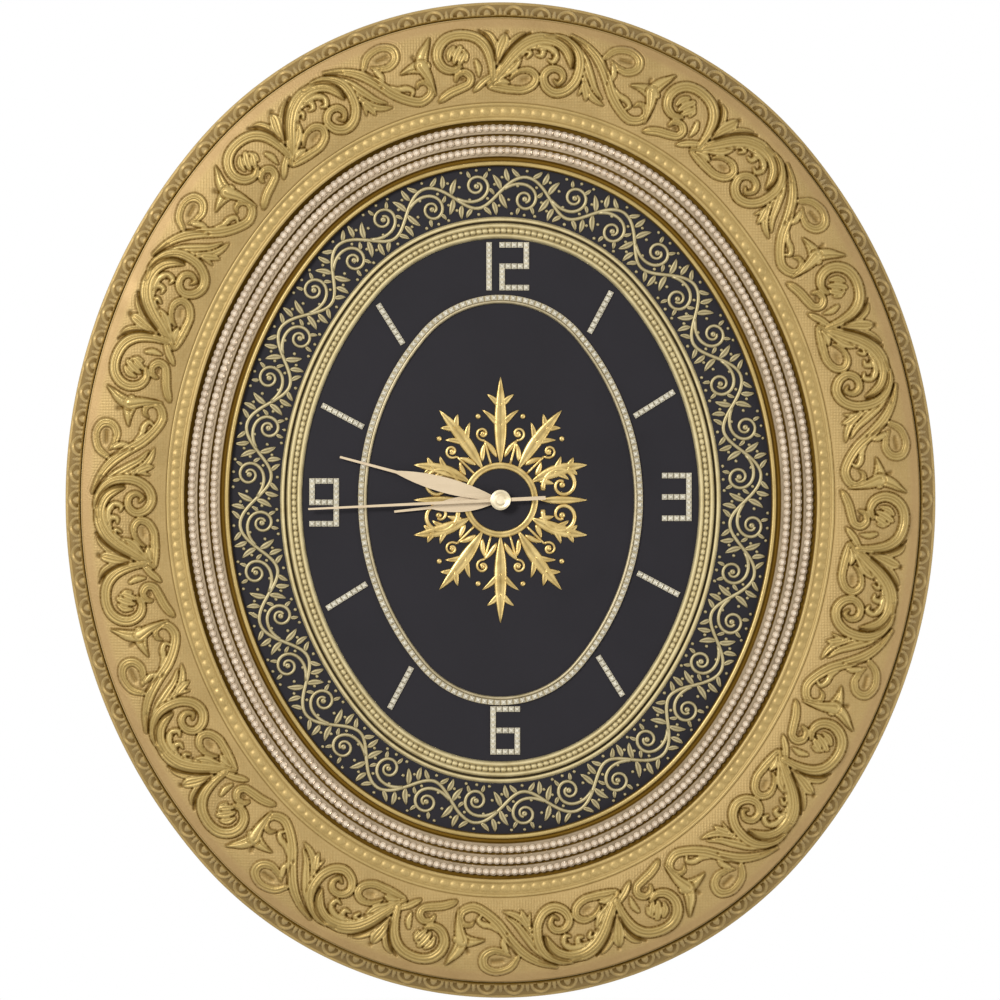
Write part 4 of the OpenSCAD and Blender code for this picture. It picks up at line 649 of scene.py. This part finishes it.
def frame_body():
    """The moulding itself: sides, back, terraces and lip, sunk under the carved bands that lie on it."""
    # Points of the section: inset, height, brown wash with painted shade (dark in the groove, on the terraces
    # under the stone rows and on the walls of the lip, where shade falls), bare foam.
    under_crown = [(u, crown_ground(u) - 1.6, 0.0, 0.0) for u in np.linspace(CROWN_IN, CROWN_OUT, 9)]
    section = np.array(
        [(0, 0.8, 0.1, 0), (0, 20.8, 0, 0), (5.7, 28.2, 0.7, 0), (6.1, 28.0, 1, 0),
         (7.0, 28.2, 1, 0)] + under_crown
        + [(PEARL_OUT - 0.1, 29.2, 0.5, 0), (PEARL_OUT, 27.7, 1, 0), (50.6, 27.6, 1, 0), (56.1, 27.6, 1, 0),
           (56.2, 26.8, 1, 0), (60.8, 26.8, 1, 0), (60.9, 26.0, 1, 0), (65.4, 26.0, 0.8, 0),
           (66.0, 25.4, 0.9, 0), (67.0, 25.3, 1, 0), (67.25, 26.0, 0.6, 0), (67.4, 26.6, 0, 0),
           (67.8, 26.95, 0, 0), (68.3, 27.0, 0, 0), (68.8, 26.75, 0, 0), (68.95, 26.2, 0.4, 0),
           (SIGHT_IN, 25.4, 0.9, 0), (SIGHT_IN, 24.02, 1, 0), (69.0, 24.02, 0.5, 1), (62.0, 24.02, 0, 1),
           (62.0, 17.5, 0, 1), (52.0, 17.5, 0, 1), (52.0, 0.6, 0, 1), (51.4, 0, 0, 1), (1.2, 0, 0, 1),
           (0.6, 0.15, 0, 0)])
    rounds = 396
    points = on_oval(0, even_runs(0, rounds)[:, None], section[:, 0], section[:, 1])
    stock = Stock()
    stock.grid(points, True, True, hollow=np.tile(section[:, 2], rounds), raw=np.tile(section[:, 3], rounds),
               blush=np.tile(section[:, 0] < 60, rounds))
    body = stock.piece("frame_body", "antique_gold", [ANTIQUE_GOLD], "frame")
    cut_out(body, hanger_pocket())
    cut_out(body, keyhole_pocket())
    # The cut walls of both pockets are bare foam as well
    bare_foam = body.data.attributes["raw"].data
    for point in body.data.vertices:
        if abs(point.co.x) < POCKET_W and abs(point.co.z) < POCKET_H and point.co.y > -POCKET_DEEP:
            bare_foam[point.index].value = 1.0
    choose(body)
    bpy.ops.object.shade_smooth_by_angle(angle=math.radians(38))


def choose(piece):
    bpy.ops.object.select_all(action="DESELECT")
    piece.select_set(True)
    bpy.context.view_layer.objects.active = piece


def pick(piece, kind, test):
    """Selects the polygons or vertices that pass a test, and stays in edit mode."""
    bpy.ops.object.mode_set(mode="EDIT")
    bpy.ops.mesh.select_mode(type={"polygons": "FACE", "vertices": "VERT"}[kind])
    bpy.ops.mesh.select_all(action="DESELECT")
    bpy.ops.object.mode_set(mode="OBJECT")
    for part in getattr(piece.data, kind):
        part.select = test(part)
    bpy.ops.object.mode_set(mode="EDIT")


def added(primitive, **settings):
    """Adds a primitive and settles its place in its mesh."""
    bpy.ops.object.select_all(action="DESELECT")
    primitive(**settings)
    piece = bpy.context.object
    choose(piece)
    bpy.ops.object.transform_apply(location=True, rotation=True, scale=True)
    return piece


def hanger_pocket():
    """Cutter for the seat of the keyhole plate: a slot with round ends."""
    cutter = added(bpy.ops.mesh.primitive_cylinder_add, vertices=64, radius=11.3 * MM, depth=6 * MM,
                   rotation=(math.pi / 2, 0, 0), location=(0, 1 * MM, 0))
    for side in (-1, 1):
        pick(cutter, "vertices", lambda point: point.co.x * side > 0.0001)
        bpy.ops.transform.translate(value=(side * 20 * MM, 0, 0))
        bpy.ops.object.mode_set(mode="OBJECT")
    return cutter


def keyhole_pocket():
    """Cutter for the room behind the keyhole, with bevelled corners."""
    cutter = added(bpy.ops.mesh.primitive_cube_add, size=1, location=(0, -6 * MM, 1.7 * MM),
                   scale=(23 * MM, 12 * MM, 21.4 * MM))
    rounding = cutter.modifiers.new("rounding", "BEVEL")
    rounding.width, rounding.segments = 1.5 * MM, 3
    choose(cutter)
    bpy.ops.object.modifier_apply(modifier=rounding.name)
    return cutter


def cut_out(piece, cutter):
    """Takes a cutter's shape out of a piece."""
    hole = piece.modifiers.new("pocket", "BOOLEAN")
    hole.operation, hole.solver, hole.object = "DIFFERENCE", "EXACT", cutter
    choose(piece)
    bpy.ops.object.modifier_apply(modifier=hole.name)
    bpy.data.objects.remove(cutter)


def carved_border():
    """The arches, cut into the outer slope at right angles to it."""
    art = arch_border()
    height, hollow, runs = art.repeated(ARCHES)
    out, up = np.array([-BORDER_RISE, BORDER_W]) / math.hypot(BORDER_RISE, BORDER_W)
    sunk = BORDER_RELIEF - height
    inset = np.maximum(art.y - out * sunk, 0.0)
    level = BORDER_LOW + BORDER_RISE * art.y / BORDER_W - up * sunk
    ones = np.ones((len(runs), 1))
    inset = np.hstack([0.0 * ones, inset, BORDER_W * ones, 2.0 * ones])
    level = np.hstack([20.4 * ones, level, 28.3 * ones, 20.4 * ones])
    # The step under the border's inner edge is darkened with painted shade.
    hollow = np.hstack([0 * ones, hollow, 0.9 * ones, 0 * ones])
    stock = Stock()
    stock.grid(on_oval(0, runs[:, None], inset, level), True, True, hollow=hollow, blush=0.5, rust=0.1)
    stock.piece("arch_border", "antique_gold", [ANTIQUE_GOLD], "frame")


def carved_crown():
    """The leaf scroll, in six lengths that meet without a step."""
    art = leaf_scroll()
    height, hollow, runs = art.repeated(SCROLLS)
    bare = np.tile(art.bare, (SCROLLS, 1))
    inset = 6.7 + art.y
    runs = SCROLL_START + runs
    top = on_oval(SCROLL_LINE, runs[:, None], inset, crown_ground(inset) + height)
    lie = np.cross(np.gradient(top, axis=1), np.roll(top, -1, 0) - np.roll(top, 1, 0))
    lie /= np.linalg.norm(lie, axis=-1, keepdims=True)
    plain = np.clip((inset - 11.0) / 1.2, 0, 1) * np.clip((42.2 - inset) / 0.8, 0, 1)
    # Painted shade along the joins with the border's groove and with the pearl band.
    edge = np.clip((inset - 42.1) / 0.7, 0, 1) * 0.4 + np.clip((7.9 - inset) / 0.5, 0, 1) * 0.5
    blush = 1 - np.clip(height / 0.8, 0, 1)
    slope = 0.45 * np.clip((12.5 - inset) / 2.5, 0, 1)
    below = on_oval(SCROLL_LINE, runs[:, None], np.array([CROWN_OUT, CROWN_IN + 0.5]),
                    np.array([BAND_FLOOR, 28.2]))
    down = np.broadcast_to([0.0, 0.0, -1.0], below.shape)
    for number, (first, last) in enumerate(((0, 2), (2, 4), (4, 6), (6, 8), (8, 10), (10, 11))):
        cols = np.arange(first * len(art.x), last * len(art.x) + 1) % len(height)
        stock = Stock()
        pad = np.zeros((len(cols), 2))
        stock.grid(np.concatenate([top[cols], below[cols]], 1), False, True,
                   hollow=np.hstack([np.maximum(hollow[cols], edge), pad]),
                   ground=np.hstack([bare[cols] * plain, pad]), blush=np.hstack([blush[cols], pad]),
                   rust=np.hstack([np.broadcast_to(slope, blush[cols].shape), pad]))
        stock.piece("leaf_scroll_%d" % (number + 1), "antique_gold", [ANTIQUE_GOLD], "frame",
                    np.concatenate([lie[cols], down[cols]], 1).reshape(-1, 3))


def carved_pearls():
    """The pearl band, a ring of its own between crown and terraces."""
    art = pearl_rows()
    height, hollow, runs = art.repeated(PEARLS)
    ones = np.ones((len(runs), 1))
    inset = np.hstack([np.broadcast_to(art.y, height.shape), PEARL_OUT * ones, CROWN_OUT * ones])
    level = np.hstack([29.95 + height, BAND_FLOOR * ones, BAND_FLOOR * ones])
    stock = Stock()
    # The wall under the band's inner edge is darkened with painted shade.
    stock.grid(on_oval(PEARL_LINE, runs[:, None], inset, level), True, True,
               hollow=np.hstack([hollow, 0.9 * ones, 0 * ones]), blush=0.45)
    stock.piece("pearl_band", "antique_gold", [ANTIQUE_GOLD], "frame")


# Stones: one is modelled and its copies are set in rows
def cut_stone(radius, cup, crown, sides=8):
    """A cup with a rim and a cut stone that rises to a turned table."""
    stone = added(bpy.ops.mesh.primitive_cylinder_add, vertices=sides, radius=radius, depth=cup,
                  location=(0, 0, cup / 2))
    pick(stone, "polygons", lambda face: face.normal.z > 0.9)
    bpy.ops.mesh.inset(thickness=0.07 * radius, depth=0)
    bpy.ops.mesh.inset(thickness=0.05 * radius, depth=0.12 * crown)
    bpy.ops.mesh.inset(thickness=0.38 * radius, depth=0.88 * crown)
    bpy.ops.transform.rotate(value=math.pi / sides, orient_axis="Z", center_override=(0, 0, 0))
    bpy.ops.object.mode_set(mode="OBJECT")
    points = np.array([tuple(p.co) for p in stone.data.vertices])
    faces = [list(face.vertices) for face in stone.data.polygons]
    glass = np.array([face.center.z > cup + 0.01 * crown for face in stone.data.polygons])
    bpy.data.objects.remove(stone)
    return points, np.concatenate(faces), np.array([len(face) for face in faces]), glass.astype(int)


def set_stones(stock, shape, places, turn, first_slot, chance):
    """Copies a stone to face-up places, each turned by an angle and with a chance tint."""
    points, loops, sizes, glass = shape
    places, turn = np.asarray(places, float), np.broadcast_to(turn, len(places))
    c, s = np.cos(turn)[:, None], np.sin(turn)[:, None]
    spots = np.stack([c * points[:, 0] - s * points[:, 1], s * points[:, 0] + c * points[:, 1],
                      np.broadcast_to(points[:, 2], (len(places), len(points)))], -1) + places[:, None, :]
    copies = np.arange(len(places))
    stock.add(spots, (loops + len(points) * copies[:, None]).ravel(), np.tile(sizes, len(places)),
              np.tile(first_slot + glass, len(places)), False,
              tint=np.repeat(chance.random(len(places)), len(points)))


def stones_along(stock, shape, inset, height, pitch, first_slot, chance, turn=math.pi / 8):
    count = int(oval_run(inset) / pitch)
    runs = even_runs(inset, count)
    out_x, out_y = oval_rays(inset, runs)[2:4]
    places = on_oval(inset, runs, inset, height)
    set_stones(stock, shape, places, np.arctan2(out_y, out_x) + turn, first_slot, chance)


def flat_strip(stock, inset, width, low, high, slot):
    """A flat strip with eased upper corners, carried round the oval."""
    ease = min(0.15, (high - low) / 3)
    section = np.array([(inset, low), (inset, high - ease), (inset + ease, high),
                        (inset + width - ease, high), (inset + width, high - ease), (inset + width, low)])
    runs = even_runs(inset, ROUNDS)[:, None]
    stock.grid(on_oval(inset, runs, section[:, 0], section[:, 1]), True, True, slot, False)


def stone_rows():
    shape = cut_stone(1.58, STONE_CUP, STONE_CROWN)
    chance = np.random.default_rng(11)
    for row, name in enumerate(("outer", "middle", "inner")):
        inset, level = ROW_FIRST + ROW_STEP * row, TERRACE - TERRACE_DROP * row
        stock = Stock()
        flat_strip(stock, inset - 1.7, 3.8, level, level + 0.6, 0)
        stones_along(stock, shape, inset - 0.4, level + 0.5, ROW_PITCH, 1, chance)
        stock.piece("stone_strip_" + name, "stones", [ROW_STRIP, ROW_SETTING, ROW_STONE], "stone_row_" + name)


def dial_stones():
    """Numbers, hour bars and the ring of stones on the dial."""
    shape = cut_stone(1.6, STONE_CUP, STONE_CROWN, 4)
    chance = np.random.default_rng(23)
    materials = [DIAL_SETTING, DIAL_STONE]
    across = [(col, row) for row in (0, 4, 8) for col in range(5)]
    bars = {"upper_left": (0, 4), "lower_left": (0, 0), "upper_right": (4, 4), "lower_right": (4, 0)}

    def cells(*names):
        return across + [(bars[n][0], bars[n][1] + step) for n in names for step in (1, 2, 3)]

    def digit(place, grid):
        return [(place[0] + (col - 2) * CELL_W, place[1] + (row - 4) * CELL_H, DIAL_Z) for col, row in grid]

    x, y = 74.3, 97.5
    numbers = {
        "numeral_12": digit((-4.8, y + 1), [(2, row) for row in range(9)])
        + digit((5.8, y + 1), cells("upper_right", "lower_left")),
        "numeral_3": digit((x, 1.3), cells("upper_right", "lower_right")),
        "numeral_6": digit((2, 0.4 - y), cells("upper_left", "lower_left", "lower_right")),
        "numeral_9": digit((-x, -1), cells("upper_left", "upper_right", "lower_right")),
    }
    for name, places in numbers.items():
        stock = Stock()
        set_stones(stock, shape, places, math.pi / 4, 0, chance)
        stock.piece("set_" + name, "stones", materials, name)
    stock = Stock()
    for hour in (1, 2, 4, 5, 7, 8, 10, 11):
        angle = math.radians(90 + BAR_LEAN - 30 * hour)
        middle = (oval_reach(RING_IN, angle) + oval_reach(TRIM_IN + TRIM_W, angle)) / 2
        reach = [middle + (i - (BAR_STONES - 1) / 2) * BAR_PITCH for i in range(BAR_STONES)]
        set_stones(stock, shape, [(r * math.cos(angle), r * math.sin(angle), DIAL_Z) for r in reach],
                   angle + math.pi / 4, 0, chance)
    stock.piece("set_hour_bars", "stones", materials, "hour_bars")
    stock = Stock()
    flat_strip(stock, RING_IN, RING_W - 0.5, DIAL_Z, DIAL_Z + 0.5, 2)
    small = cut_stone(1.46, STONE_CUP, STONE_CROWN, 4)
    stones_along(stock, small, RING_IN + 1.2, DIAL_Z + 0.5, RING_PITCH, 0, chance, math.pi / 4)
    wire = np.radians(np.linspace(0, 180, 8))
    inset = RING_IN + 2.95
    runs = even_runs(inset, ROUNDS)[:, None]
    section = on_oval(inset, runs, inset - 0.7 * np.cos(wire), DIAL_Z + 0.45 + 0.8 * np.sin(wire))
    stock.grid(section, True, True, 2)
    stock.piece("set_centre_ring", "stones", materials + [GILT_DULL], "centre_ring")


def beaded_trim():
    """Gilt trim of the dial: a thin line, a ridge, a row of beads and an inner ridge."""
    art = Carving(oval_run(BEAD_LINE) / BEADS, 10, np.linspace(0, TRIM_W, 40))
    line = [(0, 0), (0.3, 0.3), (0.7, 0.85), (1.2, 1.0), (1.7, 0.85), (2.0, 0.2), (2.6, 0.1), (2.8, 0.9),
            (3.2, 1.75), (3.8, 1.95), (4.4, 1.7), (4.8, 0.6), (6.9, 0.5), (7.2, 1.1), (7.5, 1.65),
            (8.1, 1.75), (8.7, 1.4), (9.1, 0.7), (9.3, 0)]
    profile = np.interp(art.y, *zip(*line))
    along, across = (art.x[:, None] - art.length / 2) / 1.3, (art.y - 5.85) / 0.95
    bead = np.clip(1 - np.abs(along) ** 3 - np.abs(across) ** 3, 0, 1)
    art.height = np.maximum(np.broadcast_to(profile, bead.shape),
                            np.where(bead > 0, 0.6 + 1.3 * bead ** 0.4, 0))
    # Painted shade in the sunk channels between the ridges and the beads, darkest in the groove by the outer
    # ridge.
    sunk = (art.height < 0.75) & (art.y > 1.8) & (art.y < 8.8)
    art.hollow = np.where(sunk, np.where(art.y < 3, 1.0, 0.6), 0.0)
    height, hollow, runs = art.repeated(BEADS)
    stock = Stock()
    stock.grid(on_oval(BEAD_LINE, runs[:, None], TRIM_IN + art.y, DIAL_Z + height), True, True, hollow=hollow)
    stock.piece("beaded_trim", "gilt", [GILT], "dial_trim")


# Gilt ornament on the black sheet
ROUND = np.array([(-1, 0), (-0.86, 0.52), (-0.45, 0.92), (0, 1), (0.45, 0.92), (0.86, 0.52), (1, 0)])
VEINED = np.array([(-1, 0), (-0.82, 0.62), (-0.42, 1), (0, 0.42), (0.42, 1), (0.82, 0.62), (1, 0)])


def ribbon(stock, path, half_width, height, section=ROUND, closed=False):
    """Lays a raised ribbon along a path on the dial."""
    path = np.asarray(path, float)
    half_width = np.broadcast_to(half_width, len(path))
    if closed:
        ahead = np.roll(path, -1, 0) - np.roll(path, 1, 0)
    else:
        ahead = np.gradient(path, axis=0)
    ahead /= np.linalg.norm(ahead, axis=1, keepdims=True)
    side = np.stack([-ahead[:, 1], ahead[:, 0]], -1)
    flat = path[:, None, :] + side[:, None, :] * (half_width[:, None] * section[:, 0])[..., None]
    rise = DIAL_Z + height * section[:, 1] * np.minimum(1, half_width[:, None] / 0.45)
    # Painted shade in the valley along a veined leaf.
    valley = np.tile((section[:, 1] < 0.5) & (np.abs(section[:, 0]) < 0.2), (len(path), 1)) * 0.55
    stock.grid(np.concatenate([flat, rise[..., None]], -1), closed, True, hollow=valley)


def leaf_path(start, angle, length, bend=0.0, count=14):
    """Middle line of a leaf that leaves a point at an angle and bends as it goes."""
    t = np.linspace(0, 1, count)
    turn = angle + bend * t
    step = length / (count - 1)
    walk = np.stack([np.cos(turn), np.sin(turn)], -1) * step
    return np.asarray(start) + np.vstack([[0, 0], np.cumsum(walk[:-1], 0)])


def leaf_width(count, widest, at=0.4):
    t = np.linspace(0, 1, count)
    swell = np.where(t < at, np.sin(t / at * math.pi / 2), np.cos((t - at) / (1 - at) * math.pi / 2))
    return 0.12 + widest * swell ** 0.8


def spiral(centre, start_angle, radius, eye, turns, count=40):
    t = np.linspace(0, 1, count)
    angle, reach = start_angle + turns * 2 * math.pi * t, radius + (eye - radius) * t ** 0.85
    return np.asarray(centre) + np.stack([np.cos(angle), np.sin(angle)], -1) * reach[:, None]


def boss(stock, centre, radius, height):
    """A small raised dot."""
    angle = np.linspace(0, 2 * math.pi, 12, endpoint=False)
    rings = np.array([(1.0, 0.0), (0.86, 0.55), (0.5, 0.9), (0.05, 1.0)])
    points = np.stack([centre[0] + radius * np.outer(np.cos(angle), rings[:, 0]),
                       centre[1] + radius * np.outer(np.sin(angle), rings[:, 0]),
                       DIAL_Z + height * np.broadcast_to(rings[:, 1], (12, 4))], -1)
    stock.grid(points[::-1], True, True)


def band_vine():
    """A running vine on the black band, with a curled shoot, leaves and berries in each bow."""
    bows, sway = 36, 6.6
    pitch = oval_run(VINE_IN) / bows
    stock = Stock()

    def on_band(points):
        points = np.asarray(points, float)
        return on_oval(VINE_IN, points[:, 0], VINE_IN - points[:, 1], 0.0)[:, :2]

    steps = 16
    along = np.arange(bows * steps) * pitch / steps
    stem = np.stack([along, sway * np.sin(math.pi * along / pitch)], -1)
    ribbon(stock, on_band(stem), 0.8, 0.7, closed=True)
    eye_x, eye_y = 0.4, -2.7
    t = np.linspace(0, 1, 56)
    turn = np.radians(158 - 590 * t)
    reach = 1.3 + 4.3 * (1 - t) ** 0.9 + 4.3 * np.exp(-14 * t)
    curl = np.stack([eye_x + reach * np.cos(turn), eye_y + reach * np.sin(turn)], -1)
    leaves = (((-10.4, -0.6), -76, 7.4, 0.5, 1.25), ((10.4, -0.6), -104, 7.4, -0.5, 1.25),
              ((-2.4, 6.4), 148, 5.0, -0.5, 1.0), ((2.4, 6.4), 32, 5.0, 0.5, 1.0),
              ((-6.8, 4.2), 116, 6.0, -0.5, 1.15), ((6.8, 4.2), 64, 6.0, 0.5, 1.15),
              ((5.4, -1.4), 38, 3.6, 0.6, 0.8), ((-1.6, -6.4), -118, 3.4, 0.5, 0.8),
              ((3.4, -5.6), -48, 3.6, -0.5, 0.8))
    for bow in range(bows):
        up = 1 if bow % 2 == 0 else -1
        middle = (bow + 0.5) * pitch

        def placed(points):
            points = np.asarray(points, float)
            return on_band(np.stack([middle + points[:, 0], up * points[:, 1]], -1))

        ribbon(stock, placed(curl), np.linspace(0.8, 0.6, len(t)), 0.75)
        boss(stock, placed([(eye_x, eye_y)])[0], 1.3, 0.8)
        for start, angle, length, bend, width in leaves:
            path = leaf_path(start, math.radians(angle), length, bend, 10)
            ribbon(stock, placed(path), leaf_width(10, width), 0.8, VEINED)
        for spot in ((0.0, 9.2), (-5.0, -9.2), (1.0, -9.4), (6.0, -9.2), (-6.6, -3.4), (7.8, -3.0),
                     (-9.6, 6.0), (9.6, 6.0), (-3.2, 2.6), (4.6, 2.8)):
            boss(stock, placed([spot])[0], 0.75, 0.7)
    stock.piece("band_vine", "gilt", [GILT_PALE], "band_ornament")


def centre_spray():
    """Palm leaves above and below a ring, with tendrils between them and scrolls at the sides."""
    stock = Stock()
    circle = np.linspace(0, 2 * math.pi, 72, endpoint=False)
    ribbon(stock, 14.5 * np.stack([np.cos(circle), np.sin(circle)], -1), 1.5, 0.8, VEINED, True)
    for turn in (0, math.pi):
        for lean in (-60, -30, 0, 30, 60):
            angle = turn + math.radians(90 - lean)
            ahead = np.array([math.cos(angle), math.sin(angle)])
            root = 14.8 * ahead
            length = 37 - abs(lean) / 5
            bend = -math.radians(lean) * 0.45
            blade = leaf_path(root, angle, length, bend, 18)
            ribbon(stock, blade, leaf_width(18, 2.7, 0.45), 0.8, VEINED)
            side = np.array([-math.sin(angle), math.cos(angle)])
            for hand in (-1, 1):
                for step, share in ((7, 0.30), (11, 0.22)):
                    ribbon(stock, leaf_path(blade[step], angle + bend * step / 17 + hand * 0.55,
                                            length * share, hand * 0.5, 10),
                           leaf_width(10, 1.2), 0.7, VEINED)
                base = root + ahead * 3.0 + hand * side * 1.6
                ribbon(stock, leaf_path(base, angle + hand * 0.42, length * 0.26, hand * 0.5, 10),
                       leaf_width(10, 1.1), 0.7)
        for lean in (-45, -15, 15, 45):
            angle = turn + math.radians(90 - lean)
            ahead = np.array([math.cos(angle), math.sin(angle)])
            ribbon(stock, leaf_path(15.6 * ahead, angle, 10.4, 0.0, 6), 0.6, 0.7)
            eye = 29.0 * ahead
            curl = spiral(eye, angle + math.pi, 3.0, 0.8, math.copysign(1.25, lean), 30)
            ribbon(stock, curl, 0.6, 0.75)
            boss(stock, eye, 1.1, 0.8)
            boss(stock, 36.5 * ahead, 1.2, 0.8)
    eye_x, eye_y = 26.0, 6.4
    for hand in (-1, 1):
        for up in (-1, 1):
            curl = spiral((eye_x, eye_y), math.radians(196), 8.4, 1.4, -1.35, 46) * np.array([hand, up])
            ribbon(stock, curl, np.linspace(1.15, 0.6, 46), 0.75)
            boss(stock, (hand * eye_x, up * eye_y), 1.4, 0.8)
        blade = leaf_path((hand * 16.5, 0.0), 0.0 if hand > 0 else math.pi, 20.0, 0.0, 12)
        ribbon(stock, blade, leaf_width(12, 1.7), 0.8, VEINED)
    stock.piece("centre_spray", "gilt", [GILT_DEEP], "centre_motif")


frame_body()
carved_border()
carved_crown()
carved_pearls()
stone_rows()
dial_stones()
beaded_trim()
band_vine()
centre_spray()


# Camera, light and stage
def aim(thing, place, target):
    away = np.asarray(target, float) - np.asarray(place, float)
    thing.location = place
    thing.rotation_euler = (math.atan2(math.hypot(away[0], away[1]), -away[2]), 0.0,
                            math.atan2(-away[0], away[1]))


def camera():
    sensor, away, seen_width = 36.0, 3.0, 0.4206
    lens = bpy.data.cameras.new("photo_camera")
    lens.sensor_width, lens.lens = sensor, sensor * away / seen_width
    lens.clip_end = 50.0
    made = bpy.data.objects.new("photo_camera", lens)
    SCENE.collection.objects.link(made)
    middle = -0.0002
    aim(made, (middle, -away - 0.03, -HANG_Y * MM), (middle, 0.0, -HANG_Y * MM))
    SCENE.camera = made


def lamp(name, place, size, power):
    light = bpy.data.lights.new(name, "AREA")
    light.shape, light.size, light.energy = "SQUARE", size, power
    made = bpy.data.objects.new(name, light)
    SCENE.collection.objects.link(made)
    aim(made, place, (0.0, 0.0, -HANG_Y * MM))


def studio():
    """White to the camera and in reflections, a softer grey for the light that falls on the clock."""
    world = bpy.data.worlds.new("studio")
    SCENE.world = world
    world.use_nodes = True
    nodes, links = world.node_tree.nodes, world.node_tree.links
    nodes.clear()
    path, mixed = nodes.new("ShaderNodeLightPath"), nodes.new("ShaderNodeMixShader")
    seen = path.outputs["Is Camera Ray"]
    for ray in ("Is Glossy Ray", "Is Transmission Ray"):
        either = nodes.new("ShaderNodeMath")
        either.operation = "MAXIMUM"
        links.new(seen, either.inputs[0])
        links.new(path.outputs[ray], either.inputs[1])
        seen = either.outputs[0]
    links.new(seen, mixed.inputs[0])
    for socket, level in ((1, FALLING_LIGHT), (2, SEEN_LIGHT)):
        back = nodes.new("ShaderNodeBackground")
        back.inputs["Color"].default_value = (level, level, level, 1.0)
        links.new(back.outputs[0], mixed.inputs[socket])
    links.new(mixed.outputs[0], nodes.new("ShaderNodeOutputWorld").inputs[0])


def floor():
    plane = added(bpy.ops.mesh.primitive_plane_add, size=4.0, location=(0, 0, -1.35))
    plane.name = "floor"
    finish = Finish("pale_floor")
    haze = finish.noise(3, 2)
    finish.set(Base_Color=finish.mix(haze, (0.82, 0.82, 0.81), (0.88, 0.88, 0.87)), Roughness=0.8)
    plane.data.materials.append(finish.material)


camera()
studio()
floor()
lamp("key_light", (-1.05, -1.55, 0.4), 0.5, 27.0)
lamp("fill_light", (1.9, -1.3, -0.6), 1.4, 14.0)
lamp("back_light", (0.4, 2.2, 0.9), 1.6, 26.0)

SCENE.view_settings.view_transform = "Standard"
